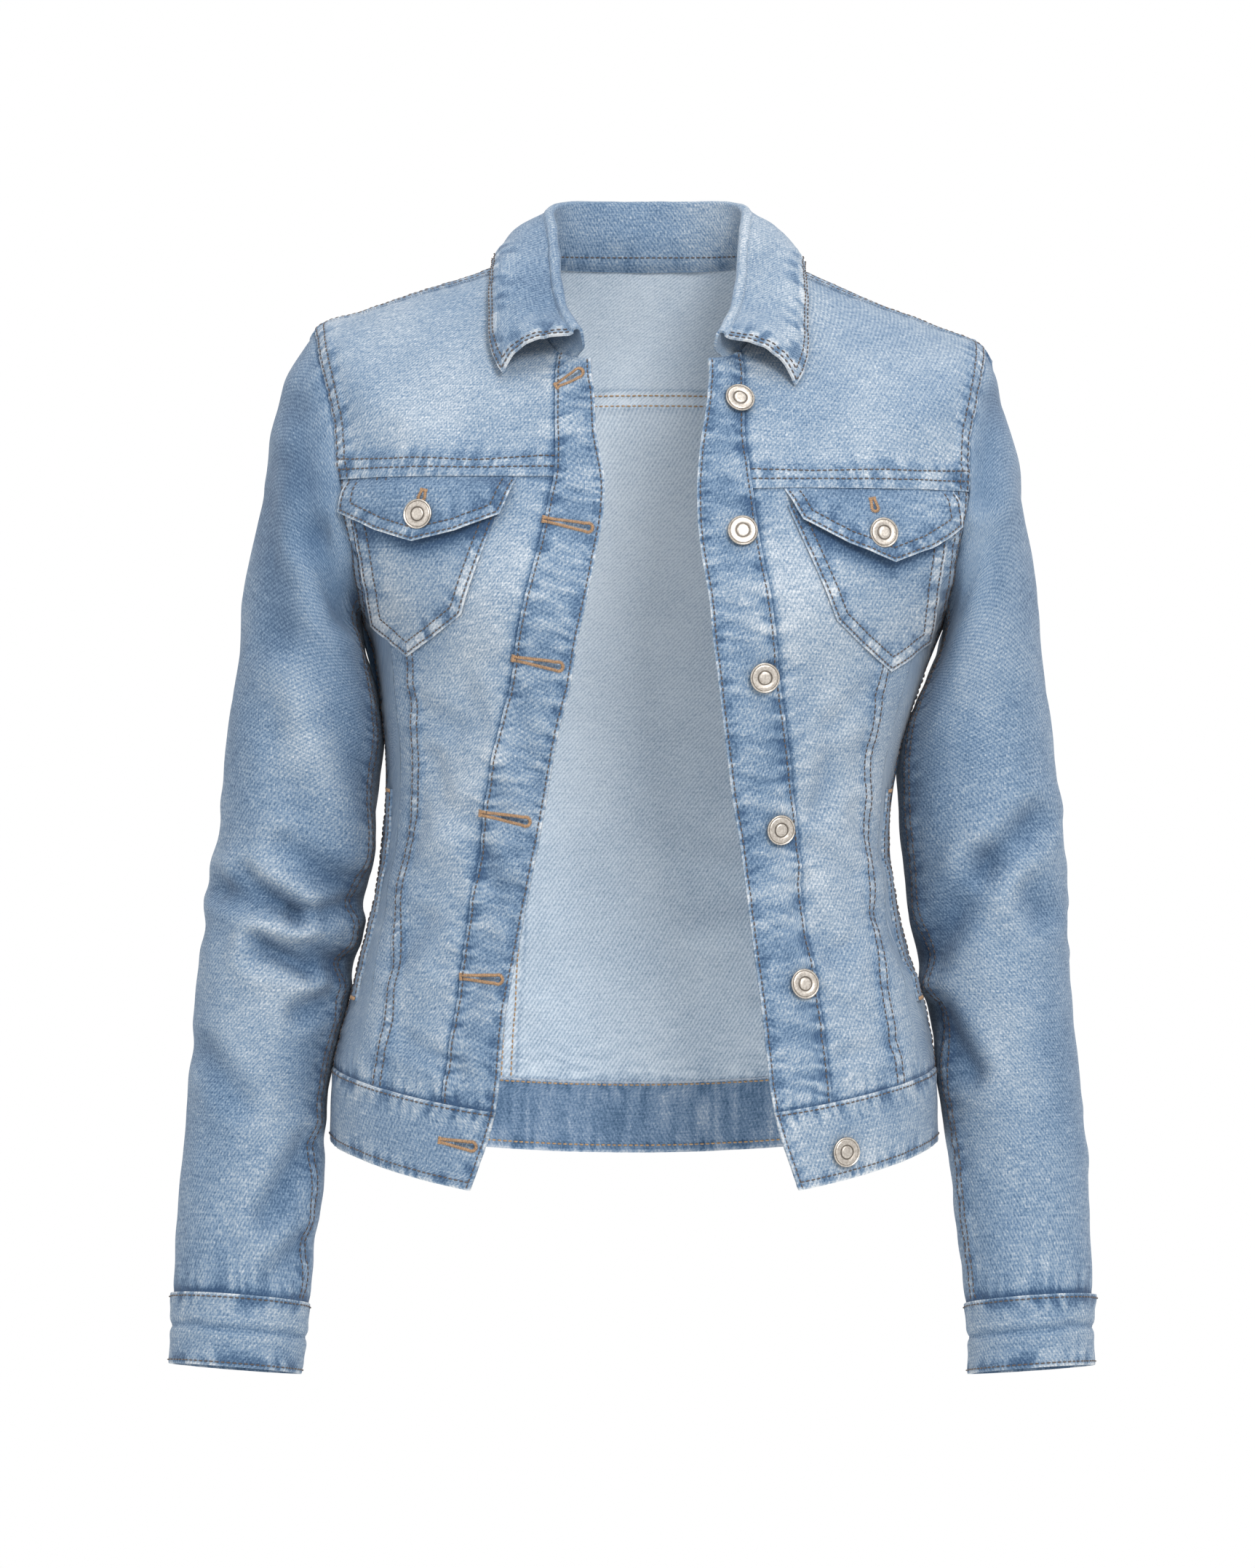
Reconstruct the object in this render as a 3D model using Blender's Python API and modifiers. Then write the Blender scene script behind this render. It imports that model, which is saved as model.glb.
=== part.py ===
"""Light denim jacket, worn open with nobody in it: hollow body, folded collar, sleeves and cuffs.

The cloth is laid on one surface that runs round the torso. A place on it is an angle in
degrees (0 at the centre front, positive to the wearer's left, 180 at the centre back) and
a ring (0 at the neckline, 15 at the hem). Seams are lines on that surface, and each panel
fills the space between four of them. Lengths in the tables are in millimetres.
The wearer's left is at +X, the front faces -Y, and the origin lies between the two points
where the shoulder meets the neck.
"""

import functools

import bmesh
import bpy
import numpy as np
from mathutils import Matrix, Vector

MM = 0.001

# Walls and gaps
CLOTH = 1.4
BAND_CLOTH = 2.3
COLLAR_CLOTH = 1.6
PATCH_CLOTH = 1.3
SEAM = 0.35
LIFT = 0.35
PATCH_LIFT = 1.2
BAND_RISE = 0.8

# Rings of the torso, from the neckline down to the hem
TORSO_COLUMNS = (
    "half_width", "lean", "side_z", "left_drop", "front_depth", "front_z", "fall", "back_depth", "back_z",
)
TORSO = {
    "neckline": (73, 0, 0, 0, 92, -71, 7.5, 60, 0),
    "yoke_1": (100, 0, -12, 3, 97, -92, 5.0, 74, -24),
    "yoke_2": (134, 0, -23, 7, 102, -115, 3.5, 86, -48),
    "yoke_3": (168, 0, -35, 9, 107, -138, 2.8, 94, -72),
    "shoulder_tip": (197, 1, -47, 11, 112, -160, 2.3, 99, -98),
    "armhole_1": (205, 2, -85, 10, 116, -184, 2.0, 102, -126),
    "armhole_2": (204, 3, -130, 8, 120, -210, 2.0, 103, -156),
    "armhole_3": (190, 3, -173, 5, 122, -236, 2.0, 102, -188),
    "armpit": (171, 3, -214, 2, 122, -262, 2.0, 99, -222),
    "rib": (160, 1, -252, 1, 119, -288, 2.0, 94, -258),
    "waist_1": (150, -4, -298, 0, 114, -320, 2.0, 91, -302),
    "waist_2": (148, -7, -338, 0, 111, -352, 2.0, 91, -342),
    "waist_3": (154, -8, -385, 0, 111, -398, 2.0, 95, -392),
    "hip_1": (167, -7, -435, 0, 114, -452, 2.0, 103, -445),
    "band_top": (177, -8, -481, 0, 117, -505, 2.0, 110, -497),
    "hem": (178.5, -8.5, -524, 0, 118, -552.5, 2.0, 112, -541),
}
SHOULDER_RING = 4.0
ARMPIT_RING = 8.0
BAND_RING = 14.0
HEM_RING = 15.0
SQUARENESS = 0.05

# Angles of the front seams at each ring, in degrees from the centre front
SEAM_COLUMNS = ("edge", "placket", "princess", "back_princess")
SEAMS = {
    "right": (
        (24.5, 41.5, 47, 148), (16.5, 29.8, 47, 148), (11.7, 21.5, 47, 148), (8.0, 17.0, 47, 148),
        (7.1, 15.7, 47, 148), (8.1, 16.4, 47, 148), (9.7, 18.4, 49.5, 148), (12.0, 21.6, 52.5, 149),
        (14.8, 25.8, 56, 150), (17.4, 29.5, 59, 151), (19.0, 32.6, 59.5, 151), (20.4, 34.5, 61.5, 151),
        (22.6, 35.4, 61.5, 152), (24.5, 35.7, 57.0, 153), (24.5, 35.6, 56.4, 154), (29.1, 35.6, 56.4, 154),
    ),
    "left": (
        (25.3, 42.5, 45, 148), (17.8, 30.5, 45, 148), (11.8, 22.0, 45, 148), (8.6, 18.2, 45, 148),
        (7.0, 15.9, 45, 148), (7.0, 15.7, 45, 148), (7.9, 16.7, 47, 148), (9.2, 19.1, 50, 148),
        (11.3, 22.4, 53, 149), (13.8, 26.2, 55, 149), (18.0, 32.0, 60.5, 149), (21.5, 35.6, 64.5, 149),
        (23.2, 36.5, 63.3, 150), (23.4, 36.2, 59.0, 150), (24.4, 36.4, 59.3, 150), (29.3, 36.4, 59.3, 150),
    ),
}
SIDE_SEAM = 90.0
FRONT_YOKE_Z = {"right": -138.5, "left": -145.5}
BACK_YOKE_Z = -84.0
BACK_YOKE_FALL = 14.0
SHOULDER_SEAM = 79.0
SHOULDER_SEAM_TURN = 1.6

# How far each armhole is cut in from the side where it meets the yoke seam, in degrees, and how round it is
# above and below that corner. The steps space the rows or columns of panels along it, from its end to the corner
ARMHOLE_COLUMNS = ("cut", "roundness_above", "roundness_below")
ARMHOLE = {"front": (30.6, 0.48, 0.69), "back": (26.5, 0.29, 0.95)}
ARMHOLE_SHAPE = 2.4
TIP_STEPS = (0.0, 0.008, 0.045, 0.14, 0.33, 0.62, 1.0)
PIT_STEPS = (0.0, 0.05, 0.2, 0.42, 0.66, 0.87, 1.0)
YOKE_COLUMNS = 28
TRUNK_ROWS = 15
SIDE_LEVEL = (7 / 15, 8.7)

# Sleeve sections from the armhole to the cuff: outer and inner edge, middle and half of the depth,
# and how much higher the front of the section is than its middle
SECTION_COLUMNS = ("outer_x", "outer_z", "inner_x", "inner_z", "mid_y", "half_depth", "front_rise")
SLEEVE = {
    "right": (
        (196.0, -47, 168.0, -214, 0, 58, 0), (214.0, -78, 168.8, -223, -1, 61, 0),
        (222.5, -112, 167.6, -236, -1, 62, 0), (230.0, -149, 164.5, -249, 0, 61.5, 0),
        (237.0, -196, 160.2, -268, 2, 59.5, 0), (243.5, -246, 158.3, -290, 5, 57, 0),
        (250.0, -295, 160.3, -322, 8, 55, 0), (257.0, -355, 165.5, -368, 11, 53, 0),
        (264.5, -402, 171.5, -410, 12, 51, 0), (268.5, -450, 180.9, -455, 10, 48.5, 1),
        (272.5, -495, 189.8, -500, 7, 45.5, 3), (276.5, -545, 193.0, -550, 2, 41.5, 5),
        (280.2, -614, 200.0, -620, -6, 38.0, 7),
    ),
    "left": (
        (198.0, -58, 174.0, -216, 0, 58, 0), (208.5, -86, 174.6, -225, -1, 61, 0),
        (215.0, -112, 171.6, -238, -1, 62, 0), (221.7, -148, 166.8, -251, 0, 61.5, 0),
        (228.0, -196, 159.0, -269, 2, 59.5, 0), (234.0, -246, 151.5, -290, 5, 57, 0),
        (241.0, -295, 147.6, -320, 8, 55, 0), (246.9, -355, 152.0, -366, 11, 53, 0),
        (249.5, -405, 158.0, -410, 12, 51, 0), (252.0, -450, 166.8, -455, 10, 48.5, 1),
        (256.0, -495, 172.8, -500, 7, 45.5, 3), (260.0, -545, 179.5, -550, 2, 41.5, 5),
        (262.6, -615, 187.0, -620, -6, 38.0, 7),
    ),
}
SLEEVE_END = 12.0
SLEEVE_SEAM = 0.6
SLEEVE_RADIUS = 48.0
ARMHOLE_REACH = 2.5
ARMHOLE_GAP = 1.4
SLEEVE_SEAMS = (160.0, 242.0)
CUFF = {
    "right": (
        (280.6, -614.4, 200.2, -620.4, -6, 38.0, 7), (280.4, -635.0, 202.6, -641.0, -7, 37.6, 6.5),
        (281.6, -655.5, 205.2, -661.5, -8, 36.8, 6),
    ),
    "left": (
        (263.0, -615.4, 187.0, -620.4, -6, 38.0, 7), (261.3, -636.0, 189.6, -641.0, -7, 37.6, 6.5),
        (262.6, -656.5, 189.5, -661.5, -8, 36.8, 6),
    ),
}
CUFF_OVERLAP = 16.0
CUFF_OPENING = 285.0

# Collar stations from the front end to the centre back: where its foot meets the neckline, the top of the
# fold, and where the leaf's edge rests: an angle and a ring of the torso, and how far above the cloth
COLLAR_COLUMNS = ("foot_angle", "fold_x", "fold_y", "fold_z", "leaf_angle", "leaf_ring", "leaf_lift")
COLLAR = (
    (33.0, 41.0, -89, -54.0, 42.0, 1.58, 5.5),
    (42.0, 45.5, -80, -46.5, 49.2, 1.44, 5.0),
    (52.0, 50.0, -66, -36.5, 59.2, 1.14, 4.5),
    (64.0, 53.5, -46, -20.0, 68.5, 0.93, 4.0),
    (78.0, 55.0, -23, -2.5, 79.0, 0.74, 3.8),
    (96.0, 57.0, 3, 17.0, 94.0, 0.66, 3.8),
    (115.0, 58.5, 24, 30.0, 113.0, 0.60, 4.2),
    (136.0, 49.0, 45, 36.5, 135.0, 0.52, 5.0),
    (158.0, 27.0, 60, 38.2, 158.0, 0.46, 6.0),
    (180.0, 0.0, 66, 38.5, 180.0, 0.45, 6.5),
)
COLLAR_TIP_TILT = -3.0
COLLAR_GAP = 0.8
COLLAR_KNEE = 2.5
COLLAR_FOLD = 3.6
COLLAR_BOW = 5.0
COLLAR_STAND_BOW = 2.0

# Chest pockets and their flaps, on the front: x and z of the corners, x counted outwards from the middle
PATCH_COLUMNS = (
    "inner_x", "outer_x", "top_z", "low_inner_x", "low_inner_z", "tip_x", "tip_z", "low_outer_x", "low_outer_z",
)
POCKET = {
    "right": (83.0, 171.0, -152, 104.6, -217.5, 139.5, -241, 161.5, -222),
    "left": (78.5, 171.5, -158, 104.5, -221.0, 139.4, -249.5, 165.0, -231),
}
FLAP = {
    "right": (74.0, 174.0, -139.2, 84.0, -162.0, 132.2, -176, 174.3, -156.5),
    "left": (75.5, 176.2, -146.2, 86.5, -165.0, 137.0, -187.5, 176.5, -165.5),
}
FLAP_LIFT = (2.1, 5.0)
PATCH_SPACING = 0.6
WELT = {"angle": 77.0, "width": 12.0, "top_ring": 10.45, "bottom_ring": 13.1}

# Soft creases: x1, z1, x2 and z2 of the two ends, then the width and the depth. A ridge has a negative depth
TORSO_CREASES = {
    "front": (
        (-94, -300, -118, -348, 13, -2.6), (-118, -348, -138, -374, 12, -2.2), (88, -374, 109, -408, 9, 2.6),
        (96, -320, 122, -300, 12, 2.0), (-100, -430, -140, -452, 11, 1.8),
        (-85, -205, -84, -204, 34, -7.0), (85, -208, 84, -207, 34, -7.0),
    ),
    "back": (
        (-60, -300, -115, -330, 14, 2.5), (70, -290, 110, -325, 14, 2.5), (-30, -350, 60, -362, 12, 2.0),
    ),
}
SLEEVE_CREASES = {
    "front": (
        (-206, -95, -193, -170, 11, 2.6), (-193, -170, -176, -215, 10, 3.0), (-222, -130, -212, -280, 13, 2.0),
        (-214, -250, -171, -352, 13, -3.0), (-250, -375, -210, -387, 8, 4.5), (-224, -412, -178, -421, 9, 5.0),
        (-212, -350, -172, -377, 8, 2.6), (-200, -527, -222, -566, 9, 3.5), (-203, -584, -218, -600, 8, 2.5),
        (236, -331, 197, -362, 11, 4.5), (197, -362, 164, -415, 11, 4.0), (229, -373, 238, -386, 12, 3.5),
        (168, -447, 188, -482, 9, 3.8), (203, -92, 192, -145, 10, 2.4),
    ),
    "back": (
        (-230, -150, -205, -210, 13, 3.0), (-252, -340, -196, -372, 10, 4.5), (-258, -398, -200, -402, 9, 4.5),
        (-240, -505, -210, -545, 10, 3.0), (222, -150, 196, -205, 13, 3.0), (240, -345, 186, -372, 10, 4.5),
        (244, -400, 188, -408, 9, 4.5), (246, -520, 214, -560, 10, 3.0),
    ),
}

# Buttons: x and z on the front, and the button's own profile
PLACKET_BUTTONS = ((50.5, -95), (52.8, -171), (64.5, -254), (73.5, -340), (87.0, -428))
BAND_BUTTON = (110.5, -523)
FLAP_BUTTONS = {"right": (-129.0, -161.5), "left": (131.0, -172.0)}
CUFF_BUTTON_ANGLE = 262.0
BUTTON_RADIUS = 8.6
BUTTON_HEIGHT = 3.6
BUTTON_FOOT_RADIUS = 4.6
BUTTON_SIDES = 12

DENIM = ("washed_denim", (0.36, 0.50, 0.68), 0.9, 0.0)
DENIM_DARK = ("blue_denim", (0.27, 0.42, 0.62), 0.9, 0.0)
DENIM_PALE = ("pale_denim", (0.45, 0.58, 0.74), 0.9, 0.0)
NICKEL = ("brushed_nickel", (0.72, 0.67, 0.60), 0.35, 1.0)

SIGN = {"right": -1.0, "left": 1.0}


def column(table, columns, name, at):
    """One named column of a table, as a smooth curve through its rows, read at row number `at`."""
    values = np.array([row[columns.index(name)] for row in table], float)
    last = len(values) - 1
    at = np.clip(np.asarray(at, float), 0, last)
    row = np.minimum(at.astype(int), last - 1)
    part = at - row
    padded = np.concatenate([[2 * values[0] - values[1]], values, [2 * values[-1] - values[-2]]])
    before, start, end, after = (padded[row + step] for step in range(4))
    return start + 0.5 * part * (
        end - before
        + part * (2 * before - 5 * start + 4 * end - after + part * (3 * (start - end) + after - before))
    )


def torso_value(name, ring):
    return column(tuple(TORSO.values()), TORSO_COLUMNS, name, ring)


def smoothstep(value):
    value = np.clip(value, 0.0, 1.0)
    return value * value * (3 - 2 * value)


def bare_torso(angle, ring):
    """The point of the smooth torso at an angle and a ring."""
    angle, ring = np.broadcast_arrays(np.radians(angle), np.asarray(ring, float))
    turn = SQUARENESS * np.sin(2 * angle)
    sine, cosine = np.sin(angle + turn), np.cos(angle - turn)
    front = cosine > 0
    side_z = torso_value("side_z", ring) - torso_value("left_drop", ring) * smoothstep(2 * sine)
    middle_z = np.where(front, torso_value("front_z", ring), torso_value("back_z", ring))
    fall = np.where(front, torso_value("fall", ring), 2.0)
    depth = np.where(front, torso_value("front_depth", ring), torso_value("back_depth", ring))
    x = torso_value("lean", ring) + torso_value("half_width", ring) * sine
    z = side_z + (middle_z - side_z) * (1 - np.abs(sine) ** fall)
    return np.stack([x, -depth * cosine, z], axis=-1)


def unit(vectors):
    return vectors / np.maximum(np.linalg.norm(vectors, axis=-1, keepdims=True), 1e-9)


def crease_depth(creases, points, normals):
    """How far the creases push the cloth in at each point. Those of the front fade out round the sides."""
    depth = np.zeros(points.shape[:-1])
    for name, facing in (("front", -1), ("back", 1)):
        seen = smoothstep(0.5 + 1.2 * facing * normals[..., 1])
        for x1, z1, x2, z2, width, push in creases[name]:
            run = np.array([x2 - x1, z2 - z1], float)
            away = points[..., [0, 2]] - (x1, z1)
            along = np.clip(away @ run / (run @ run), 0, 1)
            gap = np.linalg.norm(away - along[..., None] * run, axis=-1)
            depth += seen * push * np.exp(-((gap / width) ** 2))
    return depth


def cloth(angle, ring, out=0.0):
    """A point on the outer face of the cloth, moved out by `out` along the normal."""
    step_angle, step_ring = 0.2, 0.01
    across = bare_torso(angle + step_angle, ring) - bare_torso(angle - step_angle, ring)
    down = bare_torso(angle, ring + step_ring) - bare_torso(angle, ring - step_ring)
    normals = unit(np.cross(down, across))
    points = bare_torso(angle, ring)
    return points + normals * (out - crease_depth(TORSO_CREASES, points, normals))[..., None]


def speeds(angle, ring):
    """Millimetres that the torso's surface moves for one degree, and for one ring."""
    across = np.linalg.norm(bare_torso(angle + 0.5, ring) - bare_torso(angle - 0.5, ring), axis=-1)
    down = np.linalg.norm(bare_torso(angle, ring + 0.05) - bare_torso(angle, ring - 0.05), axis=-1) / 0.1
    return across, down


def ring_at_height(angle, height):
    """The ring where the torso passes a height, found by halving."""
    angle, height = np.broadcast_arrays(np.asarray(angle, float), np.asarray(height, float))
    low, high = np.zeros(angle.shape), np.full(angle.shape, HEM_RING)
    for _ in range(30):
        middle = (low + high) / 2
        above = bare_torso(angle, middle)[..., 2] > height
        low, high = np.where(above, middle, low), np.where(above, high, middle)
    return (low + high) / 2


def place_on_front(x, z):
    """Angle and ring of the front point with this x and z."""
    x, z = np.broadcast_arrays(np.asarray(x, float), np.asarray(z, float))
    angle = 40.0 * np.sign(x)
    for _ in range(25):
        ring = ring_at_height(angle, z)
        ratio = np.clip((x - torso_value("lean", ring)) / torso_value("half_width", ring), -0.999, 0.999)
        whole = np.arcsin(ratio)
        bent = whole
        for _ in range(8):
            bent = whole - SQUARENESS * np.sin(2 * bent)
        angle = 0.5 * (angle + np.degrees(bent))
    return angle, ring_at_height(angle, z)


def seam(side, name):
    """A lengthwise seam: degrees from the centre front, as a function of the ring."""
    return lambda ring: column(SEAMS[side], SEAM_COLUMNS, name, ring)


def shoulder_seam(ring):
    return SHOULDER_SEAM + SHOULDER_SEAM_TURN * ring


def steady(value):
    """An edge that stays on one ring, or a seam that stays at one angle."""
    return lambda place, share=0.0: np.full(np.shape(place), float(value))


def yoke_height(facing, side, angle):
    """Height of a yoke seam. That of the back falls a little towards the armholes."""
    if facing == "front":
        return np.full(np.shape(angle), FRONT_YOKE_Z[side])
    return BACK_YOKE_Z - BACK_YOKE_FALL * np.sin(np.radians(angle)) ** 2


@functools.cache
def yoke_seam(facing, side="left"):
    """A yoke seam: the ring that it lies on, as a function of the signed angle."""
    angles = np.linspace(0, 360, 361)
    rings = ring_at_height(angles, yoke_height(facing, side, angles))
    return lambda angle, share=0.0: np.interp(np.mod(angle, 360), angles, rings)


@functools.cache
def corner_ring(facing, side):
    """The ring where the yoke seam meets the armhole."""
    return float(yoke_seam(facing, side)(SIGN[side] * armhole_angle(facing, ARMHOLE[facing][0])))


def armhole_angle(facing, cut):
    return SIDE_SEAM - cut if facing == "front" else SIDE_SEAM + cut


def armhole(facing, side, ring):
    """Degrees from the centre front to the armhole's edge at this ring."""
    cut, above, below = ARMHOLE[facing]
    corner = corner_ring(facing, side)
    from_tip = np.clip((ring - SHOULDER_RING) / (corner - SHOULDER_RING), 0, 1)
    from_pit = np.clip((ARMPIT_RING - ring) / (ARMPIT_RING - corner), 0, 1)
    roundness = np.where(ring < corner, above, below)
    share = (1 - (1 - np.minimum(from_tip, from_pit)) ** ARMHOLE_SHAPE) ** roundness
    return armhole_angle(facing, cut * share)


def armhole_stops(facing, side, inner, outer, end, steps):
    """Places on the armhole: their share of the way from one lengthwise seam to another, and their ring."""
    stops = []
    for step in steps:
        ring = end + (corner_ring(facing, side) - end) * step
        share = (armhole(facing, side, ring) - inner(ring)) / (outer(ring) - inner(ring))
        stops.append((float(share), ring))
    return sorted(stops)


def along_armhole(stops, seam_line):
    """A crosswise edge that follows the armhole over its stops, and a seam elsewhere."""
    shares, rings = zip(*stops)

    def edge(angle, share):
        on_armhole = (share > shares[0] - 1e-6) & (share < shares[-1] + 1e-6)
        return np.where(on_armhole, np.interp(share, shares, rings), seam_line(angle))

    return edge


def spaced(places):
    """Rows or columns at these places, as the pairs of numbers that a panel takes."""
    return [(number / (len(places) - 1), place) for number, place in enumerate(places)]


def panel(inner, outer, top, bottom, sign=1.0, out=0.0, columns=((0, 0), (1, 1)), rows=((0, 0), (1, 1)), level=None):
    """A piece of the torso between four seams. Sign is -1 on the wearer's right.

    Columns and rows space its grid, from the inner seam to the outer and downwards. Level is a row,
    as a share of the way down, and the ring that it lies on, where the rows below the armhole turn level.
    """

    def surface(across, down):
        share = np.interp(across if sign > 0 else 1 - across, *zip(*columns))
        down = np.interp(down, *zip(*rows))
        low, high = np.zeros(share.shape), np.full(share.shape, HEM_RING)
        for _ in range(32):
            ring = (low + high) / 2
            angle = sign * (inner(ring) + (outer(ring) - inner(ring)) * share)
            start, end = top(angle, share), bottom(angle, share)
            wanted = start * (1 - down) + end * down
            if level:
                above, below = down / level[0], (down - level[0]) / (1 - level[0])
                wanted = np.where(above < 1, start * (1 - above) + level[1] * above, level[1] * (1 - below) + end * below)
            low, high = np.where(wanted > ring, ring, low), np.where(wanted > ring, high, ring)
        degree, step = speeds(angle, ring)
        angle = angle + sign * SEAM * (1 - 2 * share) / degree
        ring = ring + SEAM * (1 - 2 * down) / step
        return cloth(angle, ring, out)

    return surface


def material(finish):
    """A Principled material, made once for each finish."""
    name, colour, roughness, metallic = finish
    if name in bpy.data.materials:
        return bpy.data.materials[name]
    made = bpy.data.materials.new(name)
    made.use_nodes = True
    shader = made.node_tree.nodes["Principled BSDF"]
    shader.inputs["Base Color"].default_value = (*colour, 1.0)
    shader.inputs["Roughness"].default_value = roughness
    shader.inputs["Metallic"].default_value = metallic
    return made


def add_object(name, mesh, finish):
    made = bpy.data.objects.new(name, mesh)
    made.data.materials.append(material(finish))
    bpy.data.collections["denim_jacket"].objects.link(made)
    mesh.shade_smooth()
    return made


def shell(name, surface, across, down, wall, finish, flip=False):
    """An open grid laid on a surface of (across, down), each from 0 to 1, and then given its wall."""
    grid = bmesh.new()
    bmesh.ops.create_grid(grid, x_segments=across, y_segments=down, size=0.5)
    places = np.array([(vert.co.x + 0.5, 0.5 - vert.co.y) for vert in grid.verts])
    for vert, point in zip(grid.verts, surface(places[:, 0], places[:, 1])):
        vert.co = Vector(point) * MM
    if flip:
        bmesh.ops.reverse_faces(grid, faces=grid.faces)
    mesh = bpy.data.meshes.new(name)
    grid.to_mesh(mesh)
    grid.free()
    made = add_object(name, mesh, finish)
    made.modifiers.new("short_diagonals", "TRIANGULATE").quad_method = "SHORTEST_DIAGONAL"
    walls = made.modifiers.new("wall", "SOLIDIFY")
    walls.thickness = wall * MM
    walls.offset = -1.0
    walls.use_even_offset = True
    return made


def far_shoulder_seam(ring):
    return 360 - shoulder_seam(ring)


def make_back_yoke():
    """The yoke over both shoulders. Its lower edge is the armhole at each end, and the yoke seam between."""
    stops = {}
    for side in ("left", "right"):
        stops[side] = armhole_stops(
            "back", side, shoulder_seam, far_shoulder_seam, SHOULDER_RING, TIP_STEPS
        )
    near = [(0.0, SHOULDER_RING), *stops["left"]]
    far = [(1 - share, ring) for share, ring in reversed(stops["right"])] + [(1.0, SHOULDER_RING)]
    near_places, far_places = ([share for share, _ in ends] for ends in (near, far))
    middle = np.linspace(near_places[-1], far_places[0], YOKE_COLUMNS + 3 - len(near) - len(far))
    near_edge, far_edge = (along_armhole(ends, yoke_seam("back")) for ends in (near, far))
    shell(
        "yoke_back",
        panel(
            shoulder_seam, far_shoulder_seam, steady(0),
            lambda angle, share: np.where(share < 0.5, near_edge(angle, share), far_edge(angle, share)),
            columns=spaced([*near_places, *middle[1:-1], *far_places]),
        ),
        YOKE_COLUMNS, 5, CLOTH, DENIM_PALE,
    )


def make_back():
    """Yoke, centre back and two side backs."""
    make_back_yoke()
    left, right = seam("left", "back_princess"), seam("right", "back_princess")
    shell(
        "back_center",
        panel(left, lambda ring: 360 - right(ring), yoke_seam("back"), steady(BAND_RING)),
        8, TRUNK_ROWS, CLOTH, DENIM,
    )
    for side, princess in (("left", left), ("right", right)):
        stops = armhole_stops("back", side, steady(SIDE_SEAM), princess, ARMPIT_RING, PIT_STEPS)
        places = [share for share, _ in stops]
        shell(
            f"back_side_{side}",
            panel(
                steady(SIDE_SEAM), princess, along_armhole(stops, yoke_seam("back")), steady(BAND_RING),
                sign=SIGN[side], columns=spaced([*places, *np.linspace(places[-1], 1, 4)[1:]]), level=SIDE_LEVEL,
            ),
            len(places) + 2, TRUNK_ROWS, CLOTH, DENIM_DARK,
        )


def make_front(side):
    """Front yoke, centre front, side front and placket of one side."""
    edge, placket, princess = (seam(side, name) for name in ("edge", "placket", "princess"))
    yoke, sign = yoke_seam("front", side), SIGN[side]
    corner = corner_ring("front", side)

    def yoke_outer_edge(ring):
        return np.minimum(shoulder_seam(ring), armhole("front", side, ring))

    rings = [SHOULDER_RING + (corner - SHOULDER_RING) * step for step in (*TIP_STEPS[:-1], 0.82)]
    downs = [ring / float(yoke(sign * yoke_outer_edge(ring))) for ring in rings]
    downs = [*np.linspace(0, downs[0], 5)[:-1], *downs, 1.0]
    shell(
        f"yoke_front_{side}",
        panel(placket, yoke_outer_edge, steady(0), yoke, sign=sign, rows=spaced(downs)),
        9, len(downs) - 1, CLOTH, DENIM_PALE,
    )
    shell(
        f"front_center_{side}",
        panel(placket, princess, yoke, steady(BAND_RING), sign=sign),
        7, TRUNK_ROWS, CLOTH, DENIM,
    )
    stops = armhole_stops("front", side, princess, steady(SIDE_SEAM), ARMPIT_RING, PIT_STEPS)
    places = [share for share, _ in stops]
    places = [*np.linspace(0, places[0], 4)[:-1], *places]
    shell(
        f"front_side_{side}",
        panel(
            princess, steady(SIDE_SEAM), along_armhole(stops, yoke), steady(BAND_RING),
            sign=sign, columns=spaced(places), level=SIDE_LEVEL,
        ),
        len(places) - 1, TRUNK_ROWS, CLOTH, DENIM_DARK,
    )
    yoke_end = SHOULDER_RING
    for _ in range(12):
        yoke_end = float(yoke(sign * placket(yoke_end)))
    yoke_end /= BAND_RING
    downs = [*(down * yoke_end for down in downs), *np.linspace(yoke_end, 1, TRUNK_ROWS + 1)[1:]]
    shell(
        f"placket_{side}",
        panel(edge, placket, steady(0), steady(BAND_RING), sign=sign, out=BAND_RISE, rows=spaced(downs)),
        2, len(downs) - 1, BAND_CLOTH, DENIM_PALE,
    )


def make_waistband():
    left, right = seam("left", "edge"), seam("right", "edge")
    shell(
        "waistband",
        panel(left, lambda ring: 360 - right(ring), steady(BAND_RING), steady(HEM_RING), out=BAND_RISE),
        48, 2, BAND_CLOTH, DENIM_PALE,
    )


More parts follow.
